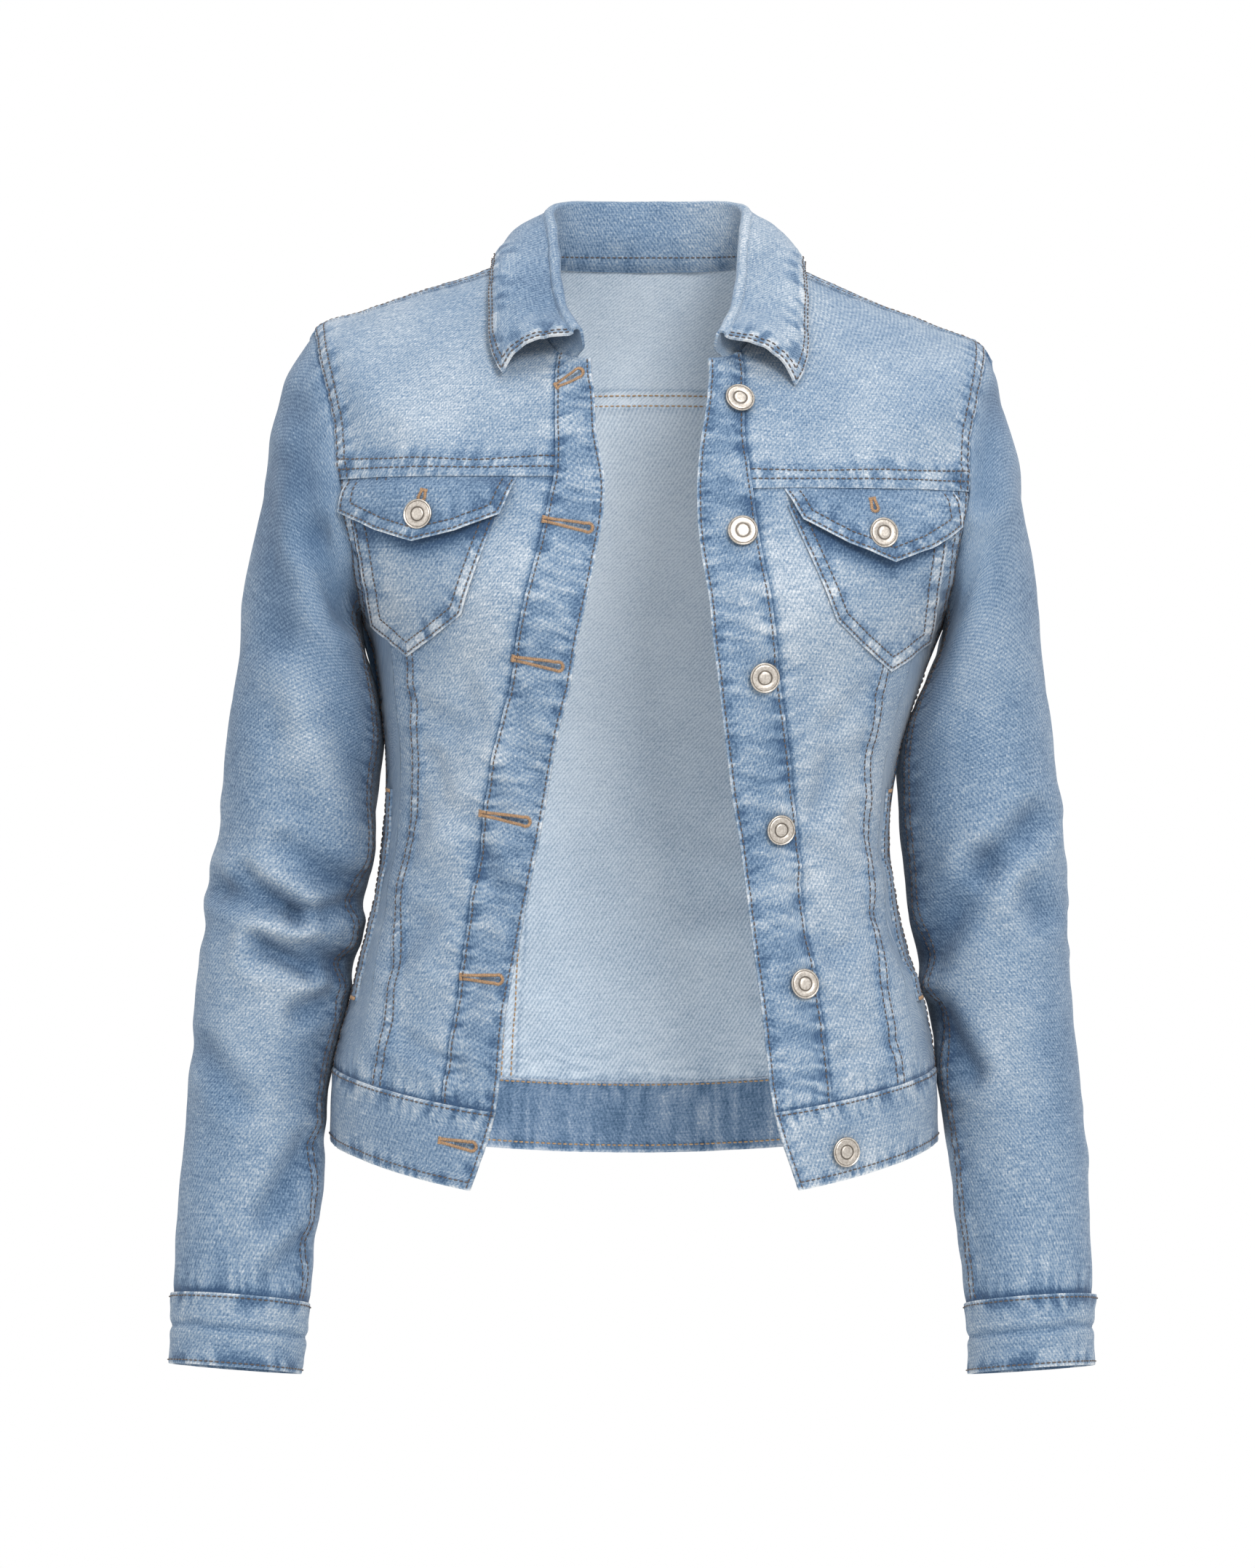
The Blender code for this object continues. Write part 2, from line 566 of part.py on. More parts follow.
def collar_surface(across, down):
    """The collar's face: up the neck side of the stand, over the fold and down the leaf."""
    side = np.where(across < 0.5, -1.0, 1.0)
    station = (1 - np.abs(2 * across - 1)) * (len(COLLAR) - 1)
    values = {name: column(COLLAR, COLLAR_COLUMNS, name, station) for name in COLLAR_COLUMNS}
    angle = side * values["foot_angle"]
    neckline = bare_torso(angle, 0)
    rise = unit(neckline - bare_torso(angle, 0.3))
    normal = cloth(angle, 0, 1) - cloth(angle, 0)
    foot = neckline + rise * COLLAR_GAP - normal * (COLLAR_CLOTH - BAND_RISE)
    knee = foot + rise * COLLAR_KNEE
    tilt = side * COLLAR_TIP_TILT * np.clip(1 - station / 3, 0, 1)
    fold = np.stack([side * values["fold_x"], values["fold_y"], values["fold_z"] + 0.3 * tilt], -1)
    edge = cloth(side * values["leaf_angle"], values["leaf_ring"], values["leaf_lift"])
    edge[..., 2] += tilt
    outward = unit((edge - foot) * (1, 1, 0))
    bow = (outward + (0, 0, 0.9)) * COLLAR_BOW
    drop = np.array((0.0, 0.0, -COLLAR_FOLD))
    stand_top = fold - outward * COLLAR_FOLD * 0.9 + drop
    leaf_top = fold + outward * COLLAR_FOLD * 1.3 + drop
    outer_top = fold + outward * COLLAR_FOLD * 0.8 + 0.35 * drop
    lines = (
        foot,
        knee,
        knee + (stand_top - knee) / 2 - (outward + (0, 0, 0.8)) * COLLAR_STAND_BOW,
        stand_top,
        stand_top + (fold - stand_top) * (0.25, 0.25, 0.7),
        fold,
        outer_top,
        leaf_top,
        leaf_top + (edge - leaf_top) / 3 + bow,
        leaf_top + (edge - leaf_top) * 2 / 3 + bow,
        edge,
    )
    place = down * (len(lines) - 1)
    weights = [np.clip(1 - np.abs(place - index), 0, 1) for index in range(len(lines))]
    return sum(weight[:, None] * line for weight, line in zip(weights, lines))


def make_collar():
    shell("collar", collar_surface, 42, 10, COLLAR_CLOTH, DENIM_DARK, flip=True)


def on_patch(side, table, lift):
    """A five-sided patch on the front: straight top, slanted sides and a pointed lower edge."""
    at = dict(zip(PATCH_COLUMNS, table[side]))
    tip_share = (at["tip_x"] - at["low_inner_x"]) / (at["low_outer_x"] - at["low_inner_x"])

    def surface(across, down):
        outwards = across if side == "left" else 1 - across
        share = outwards * (1 + PATCH_SPACING * (1 - outwards))
        top_x = at["inner_x"] + (at["outer_x"] - at["inner_x"]) * share
        low_x = np.interp(share, (0, tip_share, 1), (at["low_inner_x"], at["tip_x"], at["low_outer_x"]))
        low_z = np.interp(share, (0, tip_share, 1), (at["low_inner_z"], at["tip_z"], at["low_outer_z"]))
        x = top_x + (low_x - top_x) * down
        z = at["top_z"] + (low_z - at["top_z"]) * down
        angle, ring = place_on_front(SIGN[side] * x, z)
        return cloth(angle, ring, lift[0] + (lift[1] - lift[0]) * down)

    return surface


def make_pockets(side):
    flat = (PATCH_LIFT + PATCH_CLOTH, PATCH_LIFT + PATCH_CLOTH)
    shell(f"pocket_{side}", on_patch(side, POCKET, flat), 10, 8, PATCH_CLOTH, DENIM)
    raised = tuple(LIFT + CLOTH + lift for lift in FLAP_LIFT)
    shell(f"pocket_flap_{side}", on_patch(side, FLAP, raised), 8, 3, CLOTH, DENIM_DARK)
    angle = SIGN[side] * WELT["angle"]

    def welt(across, down):
        ring = WELT["top_ring"] + (WELT["bottom_ring"] - WELT["top_ring"]) * down
        degree, _ = speeds(angle, ring)
        return cloth(angle + (across - 0.5) * WELT["width"] / degree, ring, LIFT + 1.4)

    shell(f"side_welt_{side}", welt, 2, 8, 1.0, DENIM_PALE)


def section_ring(table, side, turn, section):
    """A sleeve or cuff section at an angle round it: 0 outer, 90 front, 180 inner, 270 back."""
    value = {name: column(table[side], SECTION_COLUMNS, name, section) for name in SECTION_COLUMNS}
    turn = np.radians(turn)
    half_x = (value["outer_x"] - value["inner_x"]) / 2
    half_z = (value["outer_z"] - value["inner_z"]) / 2
    x = value["inner_x"] + half_x + half_x * np.cos(turn)
    z = value["inner_z"] + half_z + half_z * np.cos(turn) + value["front_rise"] * np.sin(turn)
    y = value["mid_y"] - value["half_depth"] * np.sin(turn)
    return np.stack([SIGN[side] * x, y, z], axis=-1)


def armhole_loop(side, turn):
    """The armhole's edge on the torso at an angle round the sleeve, matched by height."""
    turn = np.asarray(turn, float) % 360
    sign = SIGN[side]
    top = bare_torso(sign * 90, SHOULDER_RING)[..., 2]
    bottom = bare_torso(sign * 90, ARMPIT_RING)[..., 2]
    height = (top + bottom) / 2 + (top - bottom) / 2 * np.cos(np.radians(turn))
    low, high = np.full(turn.shape, SHOULDER_RING), np.full(turn.shape, ARMPIT_RING)

    def angle_at(ring):
        return sign * np.where(turn <= 180, armhole("front", side, ring), armhole("back", side, ring))

    for _ in range(34):
        middle = (low + high) / 2
        above = bare_torso(angle_at(middle), middle)[..., 2] > height
        low, high = np.where(above, middle, low), np.where(above, high, middle)
    ring = (low + high) / 2
    return cloth(angle_at(ring), ring)


def sleeve_point(side, turn, section):
    """The sleeve's outer face, which starts on the armhole and settles into its own sections."""
    ring = section_ring(SLEEVE, side, turn, section)
    start = section_ring(SLEEVE, side, turn, 0 * section)
    fade = 1 - smoothstep(section / ARMHOLE_REACH)
    return ring + (armhole_loop(side, turn) - start) * fade[..., None]


def creased(points_at, turn, section):
    points = points_at(turn, section)
    around = points_at(turn + 1, section) - points_at(turn - 1, section)
    along = points_at(turn, section + 0.02) - points_at(turn, section - 0.02)
    normals = unit(np.cross(around, along))
    middle = points_at(turn + 180, section)
    facing = np.sign(np.sum(normals * (points - middle), axis=-1, keepdims=True))
    normals = normals * facing
    return points - normals * crease_depth(SLEEVE_CREASES, points, normals)[..., None]


def make_sleeve(side):
    """Top sleeve and under sleeve, which meet at the front and at the back of the arm."""
    sign = SIGN[side]
    front_seam, back_seam = SLEEVE_SEAMS

    def half(start, end):
        def surface(across, down):
            turn = start + (end - start) * across
            section = SLEEVE_END * down
            turn = turn + np.degrees(SLEEVE_SEAM / SLEEVE_RADIUS) * (1 - 2 * across)
            points = creased(lambda at, row: sleeve_point(side, at, row), turn, section)
            away = unit(sleeve_point(side, turn, section + 0.15) - sleeve_point(side, turn, section))
            near = np.clip(1 - section / 0.5, 0, 1)[..., None]
            last = np.clip(section - SLEEVE_END + 1, 0, 1)[..., None]
            return points + away * near * ARMHOLE_GAP - (0, 0, -SEAM) * last

        return surface

    flip = side == "left"
    shell(f"sleeve_top_{side}", half(back_seam - 360, front_seam), 18, 27, CLOTH, DENIM, flip=flip)
    shell(f"sleeve_under_{side}", half(front_seam, back_seam), 5, 27, CLOTH, DENIM_DARK, flip=flip)

    def cuff(across, down):
        overlap = np.degrees(CUFF_OVERLAP / 38.0)
        turn = CUFF_OPENING - 360 + (360 + overlap) * across
        points = section_ring(CUFF, side, turn, 2 * down)
        middle = (points + section_ring(CUFF, side, turn + 180, 2 * down)) / 2
        over = smoothstep((across * (360 + overlap) - 360 + 20) / 20)
        return points + unit(points - middle) * (BAND_RISE + over * (BAND_CLOTH + 0.4))[..., None]

    shell(f"cuff_{side}", cuff, 26, 2, BAND_CLOTH, DENIM_PALE, flip=flip)


def make_button(name, place, normal):
    """A turned metal button with a rim and a raised middle, seated on its foot."""
    radius, height = BUTTON_RADIUS, BUTTON_HEIGHT
    profile = (
        (0.0, height - 0.2), (radius * 0.44, height - 0.2), (radius * 0.52, height - 0.7),
        (radius * 0.94, height - 0.6), (radius, height - 1.2), (BUTTON_FOOT_RADIUS, height - 2.1),
        (BUTTON_FOOT_RADIUS, 0.0), (0.0, 0.0),
    )
    mesh = bpy.data.meshes.new(name)
    outline = bmesh.new()
    points = [outline.verts.new((x * MM, 0, z * MM)) for x, z in profile]
    for start, end in zip(points, points[1:]):
        outline.edges.new((start, end))
    outline.to_mesh(mesh)
    outline.free()
    made = add_object(name, mesh, NICKEL)
    turned = made.modifiers.new("turned", "SCREW")
    turned.steps = turned.render_steps = BUTTON_SIDES
    turned.use_merge_vertices = True
    turned.merge_threshold = 0.00001
    seat = Vector(place) * MM
    towards = Vector(normal).normalized()
    turn = towards.to_track_quat("Z", "Y").to_matrix().to_4x4()
    made.matrix_world = Matrix.Translation(seat + towards * LIFT * MM) @ turn
    return made


def front_seat(x, z, out):
    """Place and outward direction on the front, for something that sits `out` above the cloth."""
    angle, ring = place_on_front(x, z)
    low, high = cloth(angle, ring, out), cloth(angle, ring, out + 1)
    return low, high - low


def make_buttons():
    for number, (x, z) in enumerate(PLACKET_BUTTONS, 1):
        make_button(f"placket_button_{number}", *front_seat(x, z, BAND_RISE + 0.35))
    make_button("waistband_button", *front_seat(*BAND_BUTTON, BAND_RISE + 0.35))
    for side in ("left", "right"):
        x, z = FLAP_BUTTONS[side]
        lift = LIFT + CLOTH + sum(FLAP_LIFT) / 2 + 0.8
        make_button(f"flap_button_{side}", *front_seat(x, z, lift))
        turn = CUFF_BUTTON_ANGLE + 30
        seat = section_ring(CUFF, side, turn, 1.0)
        middle = (seat + section_ring(CUFF, side, turn + 180, 1.0)) / 2
        out = unit(seat - middle)
        make_button(f"cuff_button_{side}", seat + out * (BAND_RISE + BAND_CLOTH + 0.8), out)


def make_jacket():
    for old in list(bpy.data.objects):
        bpy.data.objects.remove(old, do_unlink=True)
    parts = bpy.data.collections.new("denim_jacket")
    bpy.context.scene.collection.children.link(parts)
    make_back()
    for side in ("right", "left"):
        make_front(side)
        make_pockets(side)
        make_sleeve(side)
    make_waistband()
    make_collar()
    make_buttons()


make_jacket()
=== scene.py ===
"""Light denim jacket, worn open with nobody in it: shell panels, felled seams, topstitching and metal buttons.

Lengths are in millimetres until a mesh is made. A place on the body is an angle in degrees (0 at the
centre front, positive to the wearer's left, 180 at the centre back) and a ring (0 at the neckline,
15 at the hem). The wearer's left is at +X, the front faces -Y.
"""

import functools

import bpy
import numpy as np
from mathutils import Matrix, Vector


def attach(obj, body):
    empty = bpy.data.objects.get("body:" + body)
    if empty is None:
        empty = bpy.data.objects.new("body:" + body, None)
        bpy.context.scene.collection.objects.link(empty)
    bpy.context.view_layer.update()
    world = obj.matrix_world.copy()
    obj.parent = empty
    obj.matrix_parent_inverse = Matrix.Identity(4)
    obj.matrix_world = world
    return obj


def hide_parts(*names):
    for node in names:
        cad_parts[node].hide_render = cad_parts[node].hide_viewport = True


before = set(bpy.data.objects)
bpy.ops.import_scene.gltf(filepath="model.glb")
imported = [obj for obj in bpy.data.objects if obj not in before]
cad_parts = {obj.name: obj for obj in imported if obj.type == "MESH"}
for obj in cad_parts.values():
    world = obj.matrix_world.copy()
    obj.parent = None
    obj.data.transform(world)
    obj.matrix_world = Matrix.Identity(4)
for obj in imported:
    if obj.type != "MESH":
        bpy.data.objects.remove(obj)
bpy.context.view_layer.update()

# Camera, light and backdrop
# A long lens looks level at the middle of the jacket from 2.6 m. The light is a white room with a soft lamp above and
# right of the camera, a weaker one overhead and a faint one at the left, so that folds show without hard shadows.

MM = 0.001
PIXEL = 0.43
FRAME_HEIGHT = 2156 * PIXEL
SENSOR = 36
DISTANCE = 2600.0
LAMPS = {
    "lamp_front": ((0.75, -2.4, 0.9), 0.8, 44.0),
    "lamp_above": ((0.1, -0.9, 1.9), 1.0, 13.0),
    "lamp_left": ((-2.2, -1.6, 0.3), 1.0, 5.0),
}
LIT_PLACE = Vector((0, 0, -0.32))
FLOOR_RADIUS, FLOOR_HEIGHT, FLOOR_SIDES = 1.1, -1.0, 64


def placed(name, data):
    """A new object of the scene that holds a mesh, a lamp or a camera."""
    made = bpy.data.objects.new(name, data)
    bpy.context.scene.collection.objects.link(made)
    return made


def linear(colour):
    """An sRGB hex colour as linear RGBA."""
    values = np.array([int(colour[place:place + 2], 16) for place in (1, 3, 5)]) / 255
    values = np.where(values <= 0.04045, values / 12.92, ((values + 0.055) / 1.055) ** 2.4)
    return (*values, 1.0)


def new_material(name, **inputs):
    """A material, its node tree and its shader, with these inputs of the shader set."""
    made = bpy.data.materials.new(name)
    made.use_nodes = True
    shader = made.node_tree.nodes["Principled BSDF"]
    for place, value in inputs.items():
        shader.inputs[place.replace("_", " ")].default_value = value
    return made, made.node_tree, shader


def add_node(tree, kind, settings=None, **links):
    """One node. Settings are its properties, its colour stops and its unlinked inputs.

    Each link names an input, or is `in` and the input's number. It comes from an output, or a node's first output.
    """
    made = tree.nodes.new(kind)
    for name, value in (settings or {}).items():
        if name == "stops":
            stops = made.color_ramp.elements
            for stop, (colour, place) in zip(stops, (value[0], value[-1])):
                stop.position, stop.color = place, colour
            for colour, place in value[1:-1]:
                stops.new(place).color = colour
        elif hasattr(made, str(name)):
            setattr(made, name, value)
        else:
            made.inputs[name].default_value = value
    for name, source in links.items():
        place = int(name[2:]) if name.startswith("in") and name[2:].isdigit() else name.replace("_", " ")
        tree.links.new(source.outputs[0] if isinstance(source, bpy.types.Node) else source, made.inputs[place])
    return made


camera = placed("camera", bpy.data.cameras.new("camera"))
camera.data.sensor_fit = "VERTICAL"
camera.data.sensor_height = SENSOR
camera.data.lens = SENSOR * DISTANCE / FRAME_HEIGHT
camera.data.clip_end = 50
camera.location = (-0.0122, -DISTANCE * MM, -0.314)
camera.rotation_euler = (np.pi / 2, 0, 0)
bpy.context.scene.camera = camera
bpy.context.scene.view_settings.view_transform = "Standard"
room = bpy.data.worlds.new("white_room")
room.use_nodes = True
room.node_tree.nodes["Background"].inputs["Color"].default_value = linear("#ffffff")
bpy.context.scene.world = room
for name, (place, size, power) in LAMPS.items():
    lamp = placed(name, bpy.data.lights.new(name, "AREA"))
    lamp.data.size = size
    lamp.data.energy = power
    lamp.location = place
    lamp.rotation_euler = (LIT_PLACE - Vector(place)).to_track_quat("-Z", "Y").to_euler()

turns = np.linspace(0, 2 * np.pi, FLOOR_SIDES, endpoint=False)
floor_mesh = bpy.data.meshes.new("floor")
floor_mesh.from_pydata(
    [(FLOOR_RADIUS * np.cos(turn), FLOOR_RADIUS * np.sin(turn), FLOOR_HEIGHT) for turn in turns],
    [], [list(range(FLOOR_SIDES))],
)
floor_mesh.materials.append(new_material("white_matt_paint", Base_Color=linear("#f4f4f2"), Roughness=0.9)[0])
placed("floor", floor_mesh)

# The body of the jacket: the surface that its panels lie on
# A jacket of this cut is sewn from flat panels over a general figure. One smooth surface carries the yokes, fronts,
# backs, plackets and waistband, and the seams are lines on it.

TORSO_COLUMNS = (
    "half_width", "lean", "side_z", "left_drop", "front_depth", "front_z", "fall", "back_depth", "back_z",
)
TORSO = {
    "neckline": (73, 0, 0, 0, 92, -71, 7.5, 60, 0),
    "yoke_1": (100, 0, -12, 3, 97, -92, 5.0, 74, -24),
    "yoke_2": (134, 0, -23, 7, 102, -115, 3.5, 86, -48),
    "yoke_3": (168, 0, -35, 9, 107, -138, 2.8, 94, -72),
    "shoulder_tip": (197, 1, -47, 11, 112, -160, 2.3, 99, -98),
    "armhole_1": (205, 2, -85, 10, 116, -184, 2.0, 102, -126),
    "armhole_2": (204, 3, -130, 8, 120, -210, 2.0, 103, -156),
    "armhole_3": (190, 3, -173, 5, 122, -236, 2.0, 102, -188),
    "armpit": (171, 3, -214, 2, 122, -262, 2.0, 99, -222),
    "rib": (160, 1, -252, 1, 119, -288, 2.0, 94, -258),
    "waist_1": (150, -4, -298, 0, 114, -320, 2.0, 91, -302),
    "waist_2": (148, -7, -338, 0, 111, -352, 2.0, 91, -342),
    "waist_3": (154, -8, -385, 0, 111, -398, 2.0, 95, -392),
    "hip_1": (167, -7, -435, 0, 114, -452, 2.0, 103, -445),
    "band_top": (177, -8, -481, 0, 117, -505, 2.0, 110, -497),
    "hem": (178.5, -8.5, -524, 0, 118, -552.5, 2.0, 112, -541),
}
SHOULDER_RING = 4.0
ARMPIT_RING = 8.0
BAND_RING = 14.0
HEM_RING = 15.0
SQUARENESS = 0.05
SEAM_COLUMNS = ("edge", "placket", "princess", "back_princess")
SEAMS = {
    "right": (
        (24.5, 41.5, 47, 148), (16.5, 29.8, 47, 148), (11.7, 21.5, 47, 148), (8.0, 17.0, 47, 148),
        (7.1, 15.7, 47, 148), (8.1, 16.4, 47, 148), (9.7, 18.4, 49.5, 148), (12.0, 21.6, 52.5, 149),
        (14.8, 25.8, 56, 150), (17.4, 29.5, 59, 151), (19.0, 32.6, 59.5, 151), (20.4, 34.5, 61.5, 151),
        (22.6, 35.4, 61.5, 152), (24.5, 35.7, 57.0, 153), (24.5, 35.6, 56.4, 154), (29.1, 35.6, 56.4, 154),
    ),
    "left": (
        (25.3, 42.5, 45, 148), (17.8, 30.5, 45, 148), (11.8, 22.0, 45, 148), (8.6, 18.2, 45, 148),
        (7.0, 15.9, 45, 148), (7.0, 15.7, 45, 148), (7.9, 16.7, 47, 148), (9.2, 19.1, 50, 148),
        (11.3, 22.4, 53, 149), (13.8, 26.2, 55, 149), (18.0, 32.0, 60.5, 149), (21.5, 35.6, 64.5, 149),
        (23.2, 36.5, 63.3, 150), (23.4, 36.2, 59.0, 150), (24.4, 36.4, 59.3, 150), (29.3, 36.4, 59.3, 150),
    ),
}
SIDE_SEAM = 90.0
FRONT_YOKE_Z = {"right": -138.5, "left": -145.5}
BACK_YOKE_Z = -84.0
BACK_YOKE_FALL = 14.0
SHOULDER_SEAM = 79.0
SHOULDER_SEAM_TURN = 1.6
ARMHOLE = {"front": (30.6, 0.48, 0.69), "back": (26.5, 0.29, 0.95)}
ARMHOLE_SHAPE = 2.4
SIGN = {"right": -1.0, "left": 1.0}
STEP_ANGLE, STEP_RING = 0.2, 0.01

# Creases of the worn cloth
# Denim holds soft troughs and ridges where the body bends and where a seam draws it in. Each row gives the x1, z1,
# x2 and z2 of a crease's ends, then its width and depth. A ridge has a negative depth.

TORSO_CREASES = {
    "front": (
        (-94, -300, -118, -348, 13, -2.6), (-118, -348, -138, -374, 12, -2.2), (88, -374, 109, -408, 9, 2.6),
        (96, -320, 122, -300, 12, 2.0), (-100, -430, -140, -452, 11, 1.8),
        (-85, -205, -84, -204, 34, -7.0), (85, -208, 84, -207, 34, -7.0),
        (-78, -372, -104, -398, 6, 1.6), (-124, -300, -112, -336, 6, 1.5), (92, -352, 118, -366, 6, 1.7),
        (84, -392, 112, -424, 6, 1.7), (100, -436, 128, -452, 7, 1.5), (-118, -418, -92, -404, 6, 1.3),
        (-136, -268, -112, -282, 7, 1.6), (126, -262, 104, -280, 7, 1.6), (-138, -462, -110, -476, 6, 1.5),
        (112, -470, 140, -462, 6, 1.5), (-50, -92, -104, -120, 12, 1.0), (52, -96, 104, -122, 12, 1.0),
        (-150, -112, -172, -140, 9, 1.4), (150, -116, 170, -142, 9, 1.4), (120, -330, 136, -356, 7, 1.8),
        (-92, -258, -76, -322, 8, -1.8), (-104, -330, -90, -372, 7, 1.8), (-86, -430, -98, -470, 8, -1.6),
        (76, -262, 92, -316, 8, -1.6), (108, -282, 98, -330, 7, 1.6), (96, -376, 110, -398, 6, -1.8),
        (-130, -392, -146, -420, 7, 1.8), (134, -388, 150, -416, 7, 1.8),
    ),
    "back": (
        (-60, -300, -115, -330, 14, 2.5), (70, -290, 110, -325, 14, 2.5), (-30, -350, 60, -362, 12, 2.0),
        (-96, -150, -132, -196, 12, 2.0), (98, -150, 134, -196, 12, 2.0), (-20, -392, -84, -410, 9, 1.6),
        (28, -404, 92, -392, 9, 1.6), (-70, -448, -124, -456, 8, 1.4), (64, -452, 120, -446, 8, 1.4),
        (-18, -240, 26, -252, 14, 1.5), (-52, -112, -70, -160, 12, 1.2), (54, -112, 72, -160, 12, 1.2),
    ),
}


def curve(values, at):
    """A smooth curve through the rows of an array, read at row numbers that need not be whole."""
    values, at = np.asarray(values, float), np.asarray(at, float)
    last = len(values) - 1
    at = np.clip(at, 0, last)
    row = np.minimum(at.astype(int), last - 1)
    part = (at - row).reshape(at.shape + (1,) * (values.ndim - 1))
    padded = np.concatenate([2 * values[:1] - values[1:2], values, 2 * values[-1:] - values[-2:-1]])
    before, start, end, after = (padded[row + step] for step in range(4))
    return start + 0.5 * part * (
        end - before
        + part * (2 * before - 5 * start + 4 * end - after + part * (3 * (start - end) + after - before))
    )


def column(table, columns, name, at):
    """One named column of a table, read as a smooth curve."""
    return curve([row[columns.index(name)] for row in table], at)


def halved(below, low, high, steps):
    """The value up to which a test holds, between two limits, found by halving."""
    for _ in range(steps):
        middle = (low + high) / 2
        test = below(middle)
        low, high = np.where(test, middle, low), np.where(test, high, middle)
    return (low + high) / 2


def torso_value(name, ring):
    return column(tuple(TORSO.values()), TORSO_COLUMNS, name, ring)


def smoothstep(value):
    value = np.clip(value, 0.0, 1.0)
    return value * value * (3 - 2 * value)


def hump(value):
    """1 at nought, fading on both sides."""
    return np.exp(-(value**2))


def bare_torso(angle, ring):
    """The point of the smooth torso at an angle and a ring."""
    angle, ring = np.broadcast_arrays(np.radians(angle), np.asarray(ring, float))
    turn = SQUARENESS * np.sin(2 * angle)
    sine, cosine = np.sin(angle + turn), np.cos(angle - turn)
    front = cosine > 0
    side_z = torso_value("side_z", ring) - torso_value("left_drop", ring) * smoothstep(2 * sine)
    middle_z = np.where(front, torso_value("front_z", ring), torso_value("back_z", ring))
    fall = np.where(front, torso_value("fall", ring), 2.0)
    depth = np.where(front, torso_value("front_depth", ring), torso_value("back_depth", ring))
    x = torso_value("lean", ring) + torso_value("half_width", ring) * sine
    z = side_z + (middle_z - side_z) * (1 - np.abs(sine) ** fall)
    return np.stack([x, -depth * cosine, z], axis=-1)


def unit(vectors):
    return vectors / np.maximum(np.linalg.norm(vectors, axis=-1, keepdims=True), 1e-9)


def crease_depth(creases, points, normals):
    """How far the creases push the cloth in at each point. Those of the front fade out round the sides."""
    depth = np.zeros(points.shape[:-1])
    for name, facing in (("front", -1), ("back", 1)):
        seen = smoothstep(0.5 + 1.2 * facing * normals[..., 1])
        for x1, z1, x2, z2, width, push in creases[name]:
            run = np.array([x2 - x1, z2 - z1], float)
            away = points[..., [0, 2]] - (x1, z1)
            along = np.clip(away @ run / (run @ run), 0, 1)
            gap = np.linalg.norm(away - along[..., None] * run, axis=-1) / width
            depth += seen * push * (hump(gap) - 0.3 * np.exp(-((gap - 1.7) ** 2) * 1.5))
    return depth


def ring_at_height(angle, height):
    """The ring where the torso passes a height."""
    angle, height = np.broadcast_arrays(np.asarray(angle, float), np.asarray(height, float))
    none = np.zeros(angle.shape)
    return halved(lambda ring: bare_torso(angle, ring)[..., 2] > height, none, none + HEM_RING, 30)


def place_on_front(x, z):
    """Angle and ring of the front point with this x and z."""
    x, z = np.broadcast_arrays(np.asarray(x, float), np.asarray(z, float))
    angle = 40.0 * np.sign(x)
    for _ in range(25):
        ring = ring_at_height(angle, z)
        ratio = np.clip((x - torso_value("lean", ring)) / torso_value("half_width", ring), -0.999, 0.999)
        whole = np.arcsin(ratio)
        bent = whole
        for _ in range(8):
            bent = whole - SQUARENESS * np.sin(2 * bent)
        angle = 0.5 * (angle + np.degrees(bent))
    return angle, ring_at_height(angle, z)


def seam(side, name):
    """A lengthwise seam: degrees from the centre front, as a function of the ring."""
    return lambda ring: column(SEAMS[side], SEAM_COLUMNS, name, ring)


def shoulder_seam(ring):
    return SHOULDER_SEAM + SHOULDER_SEAM_TURN * ring


def steady(value):
    """An edge that stays on one ring, or a seam that stays at one angle."""
    return lambda place, share=0.0: np.full(np.shape(place), float(value))


def yoke_height(facing, side, angle):
    """Height of a yoke seam. That of the back falls a little towards the armholes."""
    if facing == "front":
        return np.full(np.shape(angle), FRONT_YOKE_Z[side])
    return BACK_YOKE_Z - BACK_YOKE_FALL * np.sin(np.radians(angle)) ** 2


@functools.cache
def yoke_seam(facing, side="left"):
    """A yoke seam: the ring that it lies on, as a function of the signed angle."""
    angles = np.linspace(0, 360, 361)
    rings = ring_at_height(angles, yoke_height(facing, side, angles))
    return lambda angle, share=0.0: np.interp(np.mod(angle, 360), angles, rings)


@functools.cache
def corner_ring(facing, side):
    """The ring where the yoke seam meets the armhole."""
    return float(yoke_seam(facing, side)(SIGN[side] * armhole_angle(facing, ARMHOLE[facing][0])))


def armhole_angle(facing, cut):
    return SIDE_SEAM - cut if facing == "front" else SIDE_SEAM + cut


def armhole(facing, side, ring):
    """Degrees from the centre front to the armhole's edge at this ring."""
    cut, above, below = ARMHOLE[facing]
    corner = corner_ring(facing, side)
    from_tip = np.clip((ring - SHOULDER_RING) / (corner - SHOULDER_RING), 0, 1)
    from_pit = np.clip((ARMPIT_RING - ring) / (ARMPIT_RING - corner), 0, 1)
    roundness = np.where(ring < corner, above, below)
    share = (1 - (1 - np.minimum(from_tip, from_pit)) ** ARMHOLE_SHAPE) ** roundness
    return armhole_angle(facing, cut * share)


def slopes(angle, ring):
    """How far the torso moves across and down for small steps of angle and ring."""
    across = bare_torso(angle + STEP_ANGLE, ring) - bare_torso(angle - STEP_ANGLE, ring)
    return across, bare_torso(angle, ring + STEP_RING) - bare_torso(angle, ring - STEP_RING)


def smooth_torso(angle, ring):
    """Points and outward normals of the torso with its creases."""
    across, down = slopes(angle, ring)
    normals = unit(np.cross(down, across))
    points = bare_torso(angle, ring)
    return points - normals * crease_depth(TORSO_CREASES, points, normals)[..., None], normals


